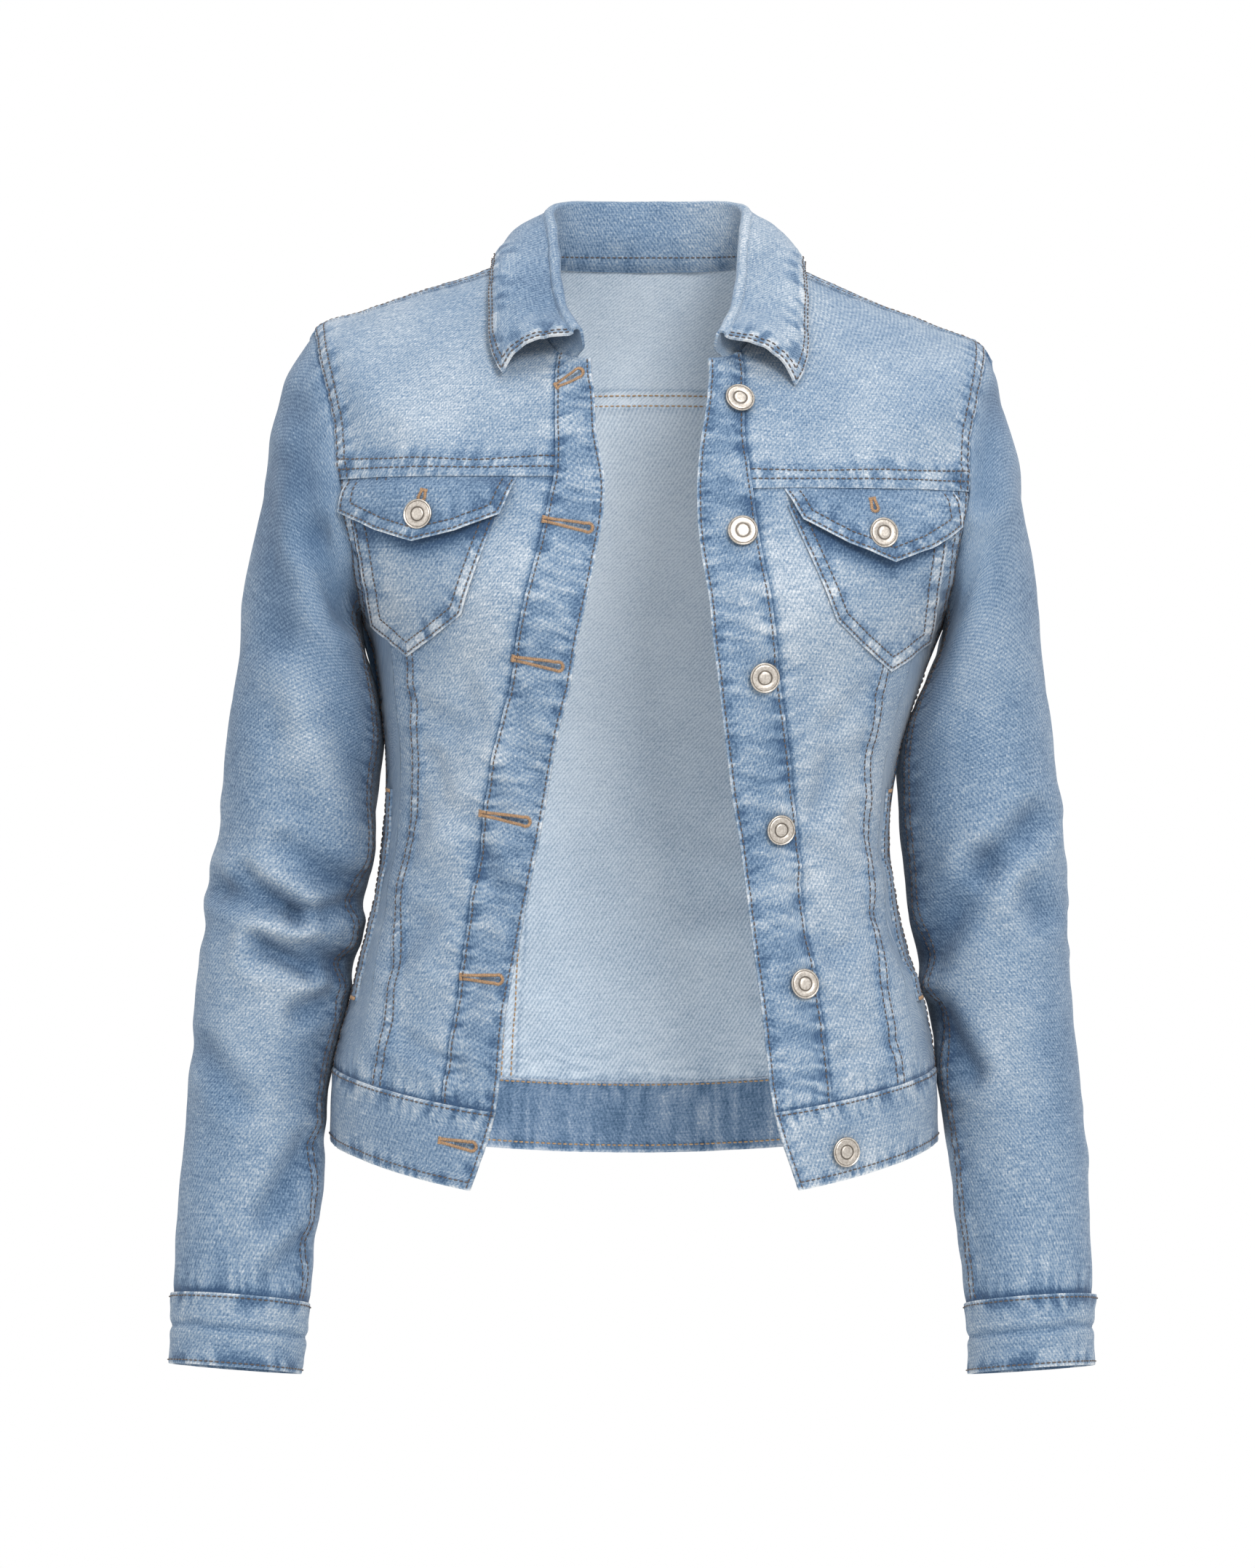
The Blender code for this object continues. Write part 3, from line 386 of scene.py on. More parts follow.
# Seams and their puckers
# Each seam is felled: one edge is turned over the other and sewn down twice, which raises a narrow band. The thread
# is tighter than the cloth, so the band ropes into small ridges that wear pale, with dark blue between them.

LATTICE = 64


@functools.cache
def random_lattice(seed):
    return np.random.default_rng(seed).uniform(-1, 1, (LATTICE, LATTICE))


def noise(x, y, seed):
    """Smooth random values between -1 and 1, one lattice cell to a unit."""
    table = random_lattice(seed)
    left, low = np.floor(x).astype(int), np.floor(y).astype(int)
    x_part, y_part = smoothstep(x - left), smoothstep(y - low)
    corners = [table[(left + i) % LATTICE, (low + j) % LATTICE] for i in (0, 1) for j in (0, 1)]
    start = corners[0] * (1 - y_part) + corners[1] * y_part
    end = corners[2] * (1 - y_part) + corners[3] * y_part
    return start * (1 - x_part) + end * x_part


def eased(start, end, count):
    """Places from start to end, closer together near both ends."""
    return start + (end - start) * (1 - np.cos(np.linspace(0, np.pi, count))) / 2


@functools.cache
def seam_line(name, side):
    """A seam of the body as signed angles and rings."""
    sign = SIGN[side]
    if name in ("armhole_front", "armhole_back"):
        facing = name[8:]
        corner = corner_ring(facing, side)
        rings = np.concatenate([eased(SHOULDER_RING, corner, 200), eased(corner, ARMPIT_RING, 200)[1:]])
        return sign * armhole(facing, side, rings), rings
    if name in ("front_yoke", "back_yoke"):
        facing = name[:-5]
        line = yoke_seam(facing, side)
        start, end, count = armhole_angle(facing, ARMHOLE[facing][0]), 180, 180
        if facing == "front":
            start, end, count = seam(side, "placket")(float(line(sign * 17))), start, 160
        angles = sign * np.linspace(start, end, count)
        return angles, line(angles)
    if name in ("band_top", "hem"):
        ring = BAND_RING if name == "band_top" else HEM_RING
        return sign * np.linspace(float(seam(side, "edge")(ring)), 180, 420), np.full(420, ring)
    top, bottom, count = {
        "edge": (0, HEM_RING, 420), "placket": (0, BAND_RING, 420), "shoulder": (0, SHOULDER_RING, 110),
        "princess": (float(yoke_seam("front", side)(sign * 47)), BAND_RING, 300),
        "back_princess": (float(yoke_seam("back")(150)), BAND_RING, 320), "side": (ARMPIT_RING, BAND_RING, 220),
    }[name]
    rings = np.linspace(top, bottom, count)
    line = {"side": steady(SIDE_SEAM), "shoulder": shoulder_seam}.get(name) or seam(side, name)
    return sign * line(rings), rings


CROSSING = ("back_yoke", "band_top", "hem")


@functools.cache
def seam_path(name, side):
    """A seam's path from the front. One that crosses the centre back runs from there, so that both sides match."""
    angles, rings = seam_line(name, side)
    if name in CROSSING:
        angles, rings = angles[::-1], rings[::-1]
    return path_of(bare_torso(angles, rings))


def on_side(name, side, angle):
    """1 where a seam belongs to a side of the body. Only seams that cross the centre back are split."""
    left = np.mod(angle, 360) <= 180
    return np.where(left == (side == "left"), 1.0, 0.0) if name in CROSSING else 1.0


def path_of(points):
    """A line's points, how far along it each lies, and its direction there."""
    steps = np.linalg.norm(np.diff(points, axis=0), axis=-1)
    return points, np.concatenate([[0], np.cumsum(steps)]), unit(np.gradient(points, axis=0))


BLOCK = 4000


def nearest(path, points):
    """Distance from each point to a line, and how far along the line it lies."""
    line, run, heading = path
    flat, found = points.reshape(-1, 3), []
    for start in range(0, len(flat), BLOCK):
        block = flat[start:start + BLOCK]
        index = ((block**2).sum(1)[:, None] + (line**2).sum(1) - 2 * block @ line.T).argmin(1)
        away = block - line[index]
        ahead = (away * heading[index]).sum(1)
        inside = (index > 0) & (index < len(line) - 1)
        squared = (away**2).sum(1) - np.where(inside, ahead**2, 0)
        found.append((np.sqrt(np.maximum(squared, 0)), run[index] + ahead))
    return (np.concatenate(values).reshape(points.shape[:-1]) for values in zip(*found))


# Per seam: how wide its raised band is, where its stitch rows run, how strongly it puckers, how high it stands and
# how pale its edge has worn
FELLS = {
    "front_yoke": (13.0, (5.6, 11.4), 0.55, 1.0, 0.12), "back_yoke": (9.6, (2.0, 8.4), 0.7, 0.8, 0.1),
    "princess": (8.8, (1.9, 7.8), 0.55, 0.75, 0.12), "back_princess": (8.8, (1.9, 7.8), 0.75, 0.75, 0.05),
    "placket": (2.6, (1.9,), 1.1, 0.3, 0.0), "edge": (3.2, (1.9,), 0.7, 0.1, 0.2),
    "side": (8.8, (1.9, 7.8), 0.75, 0.75, 0.05), "armhole_front": (8.8, (2.0, 7.6), 0.9, 0.8, 0.12),
    "armhole_back": (8.8, (2.0, 7.6), 0.9, 0.8, 0.12), "shoulder": (8.8, (1.9, 7.8), 0.6, 0.7, 0.08),
    "band_top": (3.0, (2.1,), 1.25, 0.2, 0.1), "hem": (3.0, (2.3,), 1.0, 0.1, 0.24),
}


def seam_relief(distance, along, kind, fell, seed, pitch=3.0):
    """Height, wear and painted shade that one seam gives to cloth beside it.

    An "over" edge is the raised, folded one, "under" is the cloth that it lies on.
    """
    width, rows, strength, rise, rubbed_edge = fell
    slant = along + 0.25 * distance
    ropes = 2.4 * noise(slant / pitch, distance / 16 + 7, seed) + noise(slant / (0.6 * pitch), distance / 9, seed + 1)
    ropes = 0.85 * np.tanh(1.3 * ropes + 0.25)
    reach = 0.55 + 0.45 * noise(along / 24, along * 0 + 3.5, seed + 2)
    if kind == "under":
        fade = hump(distance / (4 + 13 * reach))
        height = -0.6 * hump(distance / 2.6) + strength * 0.24 * ropes * fade
        # A dark line painted beside the seam stands for the raised edge's shadow; the ropes are wear.
        wear = strength * (0.14 * ropes * fade - 0.42 * hump(distance / 2.2))
        return height, wear
    raised = rise * (1 - smoothstep((distance - width) / 3.2))
    edge = hump(distance / 0.9)
    sewn_down = sum((hump((distance - row) / 0.8) for row in rows), 0 * distance)
    fade = np.where(distance < width, 1.0, hump((distance - width) / (2 + 9 * reach)))
    height = raised - 0.3 * edge - 0.2 * sewn_down + strength * 0.38 * ropes * fade
    wear = strength * 0.24 * ropes * fade + rubbed_edge * edge - 0.1 * sewn_down
    # A dark line painted just past the band's edge stands for its shadow.
    wear = wear - 0.12 * hump((distance - width - 1.6) / 2.2) - 0.07 * raised
    if len(rows) > 1:
        ribs = noise(slant / 2.0, distance / 30, seed + 3)
        ribs = ribs * smoothstep((distance - rows[0]) / 0.8) * smoothstep((rows[1] - distance) / 0.8)
        height, wear = height + 0.2 * ribs, wear + 0.24 * ribs
    return height, wear


def crumple(points, seed, size=34.0, height=0.5):
    """The small unevenness of washed cloth."""
    x, z = points[..., 0], points[..., 2]
    u, v = (x + 0.6 * z) / size, (z - 0.5 * x + points[..., 1]) / size
    return height * (noise(u, v, seed) + 0.5 * noise(u * 2.3, v * 2.3, seed + 1))


# The denim
# Ring-spun cotton: indigo warp over white weft in a right-hand twill, bleached pale and worn nearly white on raised
# edges. The wrong side shows mostly weft, so it is greyer and its twill leans the other way. Twill lines are 1 mm apart
# and the yarn is half that, and both are drawn coarser, the lines 2 mm apart and the specks 1.6 mm, so that they show.

TWILL = 2.0
# Random patterns: stretch across and down the cloth, scale, detail, roughness, share in the tone, and middle value
YARN = {
    "streaks": ((1.5, 0.22, 1), 1.0, 3.0, 0.65, 0.9, 0.5), "grain": ((1, 1, 1), 0.62, 2.0, 0.75, 1.0, 0.49),
    "weft": ((0.09, 0.9, 1), 1.0, 2.0, 0.5, 0.5, 0.5), "cloud": ((1, 1, 1), 26.0, 4.0, 0.6, 0.4, 0.5),
}
DENIM_OUTSIDE = (
    ("#2f4866", 0.0), ("#4a627c", 0.24), ("#677d95", 0.46), ("#81909f", 0.62), ("#9da7b2", 0.8), ("#bfc3c6", 1.0),
)
DENIM_INSIDE = (("#8094aa", 0.0), ("#a2b3c4", 0.3), ("#bcc8d4", 0.55), ("#dde5ec", 1.0))
DENIM_DEEP = (("#344d6c", 0.0), ("#4d6783", 0.28), ("#68809b", 0.52), ("#8597ac", 0.76), ("#b2bbc6", 1.0))


def denim(name, tones, slant, twill_share):
    """Woven denim. Its UV map is in millimetres along and across the cloth, and `wear` is 0.5 for plain cloth: it
    carries the wear of the cloth and also painted shade.
    """
    made, tree, shader = new_material(
        name, Roughness=0.88, Specular_IOR_Level=0.18, Sheen_Weight=0.12, Sheen_Roughness=0.6
    )
    cloth = add_node(tree, "ShaderNodeUVMap", {"uv_map": "cloth"}).outputs["UV"]
    body = add_node(tree, "ShaderNodeTexCoord").outputs["Object"]
    turn = 2 * np.pi / TWILL
    line = add_node(
        tree, "ShaderNodeVectorMath", {"operation": "DOT_PRODUCT", 1: (turn * 0.8, slant * turn * 0.6, 0)}, in0=cloth
    )
    wobble = add_node(tree, "ShaderNodeTexNoise", {"Scale": 0.9, "Detail": 1.0}, Vector=cloth)
    bend = add_node(
        tree, "ShaderNodeMath", {"operation": "MULTIPLY_ADD", 1: 2.2}, in0=wobble, in2=line.outputs["Value"]
    )
    patterns = {"twill": (add_node(tree, "ShaderNodeMath", {"operation": "SINE"}, in0=bend), twill_share, 0.0)}
    for pattern, (stretch, scale, detail, roughness, share, middle) in YARN.items():
        place = body if pattern == "cloud" else cloth
        stretched = add_node(tree, "ShaderNodeVectorMath", {"operation": "MULTIPLY", 1: stretch}, in0=place)
        settings = {"Scale": scale, "Detail": detail, "Roughness": roughness}
        patterns[pattern] = (add_node(tree, "ShaderNodeTexNoise", settings, Vector=stretched), share, middle)
    # The tone follows the cloth's wear and the shade painted into it.
    total = add_node(tree, "ShaderNodeAttribute", {"attribute_name": "wear"}).outputs["Fac"]
    for source, share, middle in patterns.values():
        scaled = add_node(
            tree, "ShaderNodeMath", {"operation": "MULTIPLY_ADD", 1: share, 2: -share * middle}, in0=source
        )
        total = add_node(tree, "ShaderNodeMath", {"operation": "ADD"}, in0=total, in1=scaled)
    stops = [(linear(colour), place) for colour, place in tones]
    toned = add_node(tree, "ShaderNodeValToRGB", {"stops": stops}, in0=total)
    tree.links.new(toned.outputs["Color"], shader.inputs["Base Color"])
    lines, streaks = patterns["twill"][0], patterns["streaks"][0]
    rough = add_node(tree, "ShaderNodeMath", {"operation": "MULTIPLY_ADD", 1: 0.35}, in0=lines, in2=streaks)
    bump = add_node(tree, "ShaderNodeBump", {"Strength": 0.35, "Distance": 0.0002}, Height=rough)
    tree.links.new(bump.outputs["Normal"], shader.inputs["Normal"])
    return made


OUTSIDE = denim("washed_twill_denim", DENIM_OUTSIDE, 1, 0.08)
INSIDE = denim("denim_wrong_side", DENIM_INSIDE, -1, 0.2)
DEEP = denim("denim_trim", DENIM_DEEP, 1, 0.07)


def wall(name, outer, normals, thickness, wear, cloth_map, finishes, inner_height=0.0, inner_wear_and_shade=None):
    """A closed shell on a grid of points: the outer face, the same grid one wall deeper, and the rim between."""
    inner = outer - normals * (thickness + np.broadcast_to(inner_height, wear.shape))[..., None]
    both_wear_and_shade = np.stack([wear, wear if inner_wear_and_shade is None else inner_wear_and_shade])
    index = np.arange(wear.size).reshape(wear.shape)
    quads = np.stack([index[:-1, :-1], index[1:, :-1], index[1:, 1:], index[:-1, 1:]], axis=-1).reshape(-1, 4)
    round_edge = np.concatenate([index[0, :], index[1:, -1], index[-1, -2::-1], index[-2:0:-1, 0]])
    following = np.roll(round_edge, -1)
    rim = np.stack([round_edge, following, following + wear.size, round_edge + wear.size], axis=-1)
    faces = np.concatenate([quads, quads[:, ::-1] + wear.size, rim])
    corner = outer.reshape(-1, 3)[quads]
    facing = np.cross(corner[:, 1] - corner[:, 0], corner[:, 3] - corner[:, 0])
    if (facing * normals.reshape(-1, 3)[quads[:, 0]]).sum() < 0:
        faces = faces[:, ::-1]
    mesh = bpy.data.meshes.new(name)
    points = np.concatenate([outer.reshape(-1, 3), inner.reshape(-1, 3)]) * MM
    mesh.from_pydata(points.tolist(), [], faces.tolist())
    for finish in finishes:
        mesh.materials.append(finish)
    slots = np.zeros(len(faces), np.int32)
    slots[len(quads):2 * len(quads)] = 1
    mesh.polygons.foreach_set("material_index", slots)
    worn_and_shaded = mesh.attributes.new("wear", "FLOAT", "POINT")
    worn_and_shaded.data.foreach_set("value", np.clip(both_wear_and_shade.reshape(-1), 0, 1).astype(np.float32))
    corners = np.zeros(len(mesh.loops), np.int32)
    mesh.loops.foreach_get("vertex_index", corners)
    spread_out = np.tile(cloth_map.reshape(-1, 2), (2, 1))[corners]
    mesh.uv_layers.new(name="cloth").data.foreach_set("uv", spread_out.reshape(-1).astype(np.float32))
    mesh.shade_smooth()
    mesh.set_sharp_from_angle(angle=np.radians(62))
    return placed(name, mesh)


def sheet_of_cloth(made, node):
    """Puts a cut piece in place of the plain one."""
    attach(made, "root")
    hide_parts(node)


def woven(points, sign=1.0, start=0):
    """Millimetres across and down a grid of cloth, counted from one column and the first row."""
    across = np.pad(np.linalg.norm(np.diff(points, axis=1), axis=-1).cumsum(1), ((0, 0), (1, 0)))
    down = np.pad(np.linalg.norm(np.diff(points, axis=0), axis=-1).cumsum(0), ((1, 0), (0, 0)))
    return np.stack([sign * (across - across[:, start:start + 1]), down], -1)


def paced(length, pitch):
    """Shares from 0 to 1 over a length, closer together near both ends, where the cloth folds."""
    near = [step / length for step in (0, 0.5, 1.0, 1.6, 2.3, 3.1)]
    count = max(2, int((1 - 2 * near[-1]) * length / pitch))
    return np.concatenate([near[:-1], np.linspace(near[-1], 1 - near[-1], count), 1 - np.array(near[-2::-1])])

# Topstitching
# Core-spun topstitching thread, 0.9 mm thick, sewn 3.4 mm to the stitch. It is dark taupe outside and tan on the wrong
# side, and the buttonholes are worked close in amber. Its twist is matt, with dark and light strands side by side.

THREADS = {"taupe_thread": "#4a3d37", "tan_thread": "#b39068", "amber_thread": "#9c7a58"}
STITCH = 3.0
STITCH_PITCH = 3.4
THREAD = 0.9


def thread(name, colour):
    """Twisted polyester and cotton thread, matt with a slight sheen across its twist."""
    made, tree, shader = new_material(name, Roughness=0.62, Sheen_Weight=0.2)
    body = add_node(tree, "ShaderNodeTexCoord").outputs["Object"]
    twist = add_node(tree, "ShaderNodeTexNoise", {"Scale": 900.0, "Detail": 2.0}, Vector=body)
    tone = np.array(linear(colour)[:3])
    stops = (((*0.66 * tone, 1), 0.3), ((*np.minimum(1.3 * tone, 1), 1), 0.7))
    toned = add_node(tree, "ShaderNodeValToRGB", {"stops": stops}, in0=twist)
    tree.links.new(toned.outputs["Color"], shader.inputs["Base Color"])
    return made


THREADS = {name: thread(name, colour) for name, colour in THREADS.items()}


def stitch_tree():
    """Puts one rounded stitch on each point, lengthwise along `heading` and upright along `up`."""
    tree = bpy.data.node_groups.new("stitches", "GeometryNodeTree")
    for name, way, kind in (
        ("Places", "INPUT", "Geometry"), ("Stitch length", "INPUT", "Float"), ("Thread thickness", "INPUT", "Float"),
        ("Thread", "INPUT", "Material"), ("Stitches", "OUTPUT", "Geometry"),
    ):
        tree.interface.new_socket(name, in_out=way, socket_type="NodeSocket" + kind)
    given = add_node(tree, "NodeGroupInput").outputs
    thick = given["Thread thickness"]
    size = add_node(tree, "ShaderNodeCombineXYZ", in0=given["Stitch length"], in1=thick, in2=thick)
    bead = add_node(tree, "GeometryNodeMeshIcoSphere", {"Radius": 0.5, "Subdivisions": 1})
    stitch = add_node(tree, "GeometryNodeTransform", Geometry=bead, Scale=size)
    heading, up = (
        add_node(tree, "GeometryNodeInputNamedAttribute", {"data_type": "FLOAT_VECTOR", "Name": name})
        for name in ("heading", "up")
    )
    lengthwise = add_node(tree, "FunctionNodeAlignRotationToVector", {"axis": "X"}, Vector=heading)
    upright = add_node(
        tree, "FunctionNodeAlignRotationToVector", {"axis": "Z", "pivot_axis": "X"}, Rotation=lengthwise, Vector=up
    )
    stitches = add_node(
        tree, "GeometryNodeInstanceOnPoints", Points=given["Places"], Instance=stitch, Rotation=upright
    )
    for kind in ("GeometryNodeRealizeInstances", "GeometryNodeSetShadeSmooth"):
        stitches = add_node(tree, kind, Geometry=stitches)
    coloured = add_node(tree, "GeometryNodeSetMaterial", Geometry=stitches, Material=given["Thread"])
    add_node(tree, "NodeGroupOutput", in0=coloured)
    return tree


STITCHES = stitch_tree()


def sewn(name, rows, thread_name, length=STITCH, pitch=STITCH_PITCH, thickness=THREAD, across=False):
    """Stitches along rows of points with their normals, as one mesh. Across turns them square to the row."""
    places, headings, ups = [], [], []
    for points, normals in rows:
        run = path_of(points)[1]
        count = max(2, int(run[-1] / pitch))
        at = (np.arange(count) + 0.5) * run[-1] / count
        centre, before, after, up = (
            np.stack([np.interp(at + step, run, values[:, axis]) for axis in range(3)], -1)
            for values, step in ((points, 0), (points, -0.6), (points, 0.6), (normals, 0))
        )
        up, heading = unit(up), unit(after - before)
        places.append(centre)
        headings.append(np.cross(heading, up) if across else heading)
        ups.append(up)
    mesh = bpy.data.meshes.new(name)
    mesh.from_pydata((np.concatenate(places) * MM).tolist(), [], [])
    for attribute, values in (("heading", headings), ("up", ups)):
        made = mesh.attributes.new(attribute, "FLOAT_VECTOR", "POINT")
        made.data.foreach_set("vector", np.concatenate(values).reshape(-1).astype(np.float32))
    guide = placed(name + "_places", mesh)
    modifier = guide.modifiers.new("stitches", "NODES")
    modifier.node_group = STITCHES
    sizes = {"Stitch length": length * MM, "Thread thickness": thickness * MM, "Thread": THREADS[thread_name]}
    for socket in STITCHES.interface.items_tree:
        if socket.name in sizes:
            modifier[socket.identifier] = sizes[socket.name]
    bpy.context.view_layer.update()
    real = bpy.data.meshes.new_from_object(guide.evaluated_get(bpy.context.evaluated_depsgraph_get()))
    bpy.data.objects.remove(guide)
    real.name = name
    made = placed(name, real)
    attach(made, "root")
    return made


def moved(angle, ring, distance, way):
    """A seam's signed angles and rings, moved sideways on the torso by some millimetres: up, down, in or out."""
    across, down = slopes(angle, ring)
    across, down = across / (2 * STEP_ANGLE), down / (2 * STEP_RING)
    heading = unit(np.gradient(bare_torso(angle, ring), axis=0))
    move = np.cross(unit(np.cross(down, across)), heading) * distance
    aa, ab, bb, ma, mb = (
        (first * second).sum(-1)
        for first, second in ((across, across), (across, down), (down, down), (move, across), (move, down))
    )
    more_angle, more_ring = (ma * bb - mb * ab) / (aa * bb - ab**2), (mb * aa - ma * ab) / (aa * bb - ab**2)
    outward, downward = (more_angle * np.sign(angle)).mean(), more_ring.mean()
    turn = 1.0 if {"up": -downward, "down": downward, "out": outward, "in": -outward}[way] > 0 else -1.0
    return angle + turn * more_angle, ring + turn * more_ring


# Body panels
# Two front yokes, two centre fronts, two side fronts, the back yoke, a centre back and two side backs, cut from the
# same denim. Each edge lies over or under its neighbour in a felled seam.

CLOTH = 1.3
LAP_ANGLE, LAP_RING = 1.25, 0.11
BOTH = ("left", "right")
# The seams of each panel: + where it carries the raised edge, - where it lies beneath
PANEL_SEAMS = {
    "yoke_back": "+shoulder +armhole_back +back_yoke", "back_center": "+back_princess -back_yoke -band_top",
    "waistband": "+band_top +hem +edge", "yoke_front": "-placket -shoulder +armhole_front +front_yoke",
    "front_center": "-front_yoke -placket +princess -band_top",
    "front_side": "-front_yoke +armhole_front -princess +side -band_top",
    "back_side": "-back_yoke +armhole_back -back_princess -side -band_top", "placket": "+placket +edge -band_top",
}
BODY_SEAMS = {}
for sides in (BOTH, BOTH[:1], BOTH[1:]):
    for panel in list(PANEL_SEAMS)[:3] if sides == BOTH else list(PANEL_SEAMS)[3:]:
        BODY_SEAMS[panel if sides == BOTH else f"{panel}_{sides[0]}"] = [
            (word[1:], side, "over" if word[0] == "+" else "under")
            for word in PANEL_SEAMS[panel].split() for side in sides
        ]
LIFTS = {"waistband": 0.9, "placket_left": 0.75, "placket_right": 0.75}
FADES = {
    "yoke_front_left": 0.06, "yoke_front_right": 0.07, "yoke_back": 0.04, "placket_left": -0.06,
    "placket_right": -0.06, "front_center_left": 0.05, "front_side_left": 0.06,
}
# Bleached places, where the cloth was rubbed: x, z, half-width, half-height and how much paler, on the front
BLEACHED = (
    (-118, -92, 52, 34, 0.06), (122, -96, 50, 34, 0.05), (-112, -318, 24, 74, 0.09), (118, -310, 26, 70, 0.13),
    (-98, -246, 22, 24, 0.08), (96, -258, 22, 26, 0.07), (-60, -205, 16, 60, 0.03), (68, -215, 16, 60, 0.03),
    (-126, -440, 26, 30, 0.06), (128, -440, 26, 30, 0.06), (118, -535, 60, 30, 0.1), (-118, -525, 50, 30, -0.05),
)


def faded(wear, points, normals, fades):
    """Wear of the front, made paler round some places: x, z, half-width, half-height and how much."""
    front = smoothstep(0.3 - 1.4 * normals[..., 1])
    for x, z, wide, high, paler in fades:
        away = ((points[..., 0] - x) / wide) ** 2 + ((points[..., 2] - z) / high) ** 2
        wear = wear + front * paler * np.exp(-away)
    return wear


def body_skin(name, angle, ring):
    """Points, normals, and wear with painted shade, of a body panel's outer face at signed angles and rings."""
    bare = bare_torso(angle, ring)
    points, normals = smooth_torso(angle, ring)
    height = crumple(bare, 5) + LIFTS.get(name, 0.0)
    wear = 0.5 + FADES.get(name, 0.0) + 0.05 * noise(bare[..., 0] / 40, bare[..., 2] / 46, 9)
    # Paler where the cloth stands up; darker in the crease troughs, which is painted shade.
    wear = wear + 0.02 * (height - LIFTS.get(name, 0.0)) - 0.02 * ((bare - points) * normals).sum(-1)
    for seam_name, side, kind in BODY_SEAMS[name]:
        distance, along = nearest(seam_path(seam_name, side), bare)
        seed = 3 * list(FELLS).index(seam_name) + 40 * BOTH.index(side) * (seam_name not in CROSSING)
        more, rubbed_and_shaded = seam_relief(distance, along, kind, FELLS[seam_name], seed)
        here = on_side(seam_name, side, angle)
        height, wear = height + here * more, wear + here * rubbed_and_shaded
    if name.startswith("placket"):
        folds = noise(bare[..., 2] / 3.4 + 0.06 * bare[..., 0], bare[..., 0] / 15, 57)
        folds = np.tanh(2 * folds + noise(bare[..., 2] / 12, bare[..., 0] / 30, 58))
        height, wear = height + 0.3 * folds, wear + 0.1 * folds
    # Paler round the bleached places, which is wear; darker where the cloth faces sideways, which is painted shade.
    wear = faded(wear, points, normals, BLEACHED) - 0.05 * smoothstep(np.abs(normals[..., 0]) * 2 - 1)
    return points + normals * height[..., None], normals, wear


def inner_fell(name, angle, ring):
    """Height, wear and painted shade on the wrong side, where the back's seam allowances lie flat under their
    stitching.
    """
    bare = bare_torso(angle, ring)
    height = np.zeros(angle.shape)
    # Paler round the middle height of the back, darker towards the top and the bottom.
    wear = 0.3 * hump((bare[..., 2] + 170) / 150) - 0.05
    for seam_name, side, kind in BODY_SEAMS[name]:
        allowance = seam_name in ("back_yoke", "back_princess", "shoulder") and kind == "over"
        if not allowance and seam_name != "band_top":
            continue
        distance, along = nearest(seam_path(seam_name, side), bare)
        here = on_side(seam_name, side, angle)
        if allowance:
            ropes = noise(along / 3.5, distance / 9, 71)
            band = (1 - smoothstep((distance - 10.5) / 1.2)) * here
            height = height + (0.8 + 0.15 * ropes) * band
            # Paler over the allowance from wear; the dark line along its edge is painted shadow.
            wear = wear + (0.16 + 0.14 * ropes) * band - 0.3 * here * hump((distance - 11.5) / 1.0)
        else:
            wear = wear + 0.2 * here * noise(along / 9, distance / 2.2, 73) * hump(distance / 26)
    if name == "waistband":
        height = height + 0.3
        wear = 0.22 * noise(angle / 0.9, ring * 2, 74) * smoothstep((ring - BAND_RING) * 4)
        for paler, edge, width in ((0.5, BAND_RING, 0.035), (0.3, HEM_RING, 0.04)):
            wear = wear + paler * hump((ring - edge) / width)
    return height, wear


def between(inner, outer, top, bottom, sign=1.0):
    """A panel between four seams, which turns shares across and down it into signed angles and rings."""

    def surface(share, down):
        def angle(ring):
            return sign * (inner(ring) + (outer(ring) - inner(ring)) * share)

        def above(ring):
            at = angle(ring)
            return top(at, share) * (1 - down) + bottom(at, share) * down > ring

        none = np.zeros(share.shape)
        ring = halved(above, none, none + HEM_RING, 25)
        return angle(ring), ring

    return surface


def spread(surface, dense, across, pitch):
    """Shares across or down a panel at an even pitch, on whichever of three lines is longest at that place."""
    longest = np.zeros(len(dense) - 1)
    for other in (0.0, 0.5, 1.0):
        fixed = np.full(len(dense), other)
        places = surface(dense, fixed) if across else surface(fixed, dense)
        longest = np.maximum(longest, np.linalg.norm(np.diff(bare_torso(*places), axis=0), axis=-1))
    run = np.concatenate([[0], np.cumsum(longest)])
    return np.interp(paced(run[-1], pitch) * run[-1], run, dense)


def armhole_stops(facing, side, inner, outer, end):
    """Places on the armhole: their share of the way from one lengthwise seam to another, and their ring."""
    rings = end + (corner_ring(facing, side) - end) * eased(0, 1, 300) ** 2
    shares = (armhole(facing, side, rings) - inner(rings)) / (outer(rings) - inner(rings))
    order = np.argsort(shares)
    return shares[order], rings[order]


def along_armhole(stops, seam_line):
    """A crosswise edge that follows the armhole over its stops, and a seam elsewhere."""
    shares, rings = stops

    def edge(angle, share):
        on_armhole = (share > shares[0] - 1e-6) & (share < shares[-1] + 1e-6)
        return np.where(on_armhole, np.interp(share, shares, rings), seam_line(angle))

    return edge


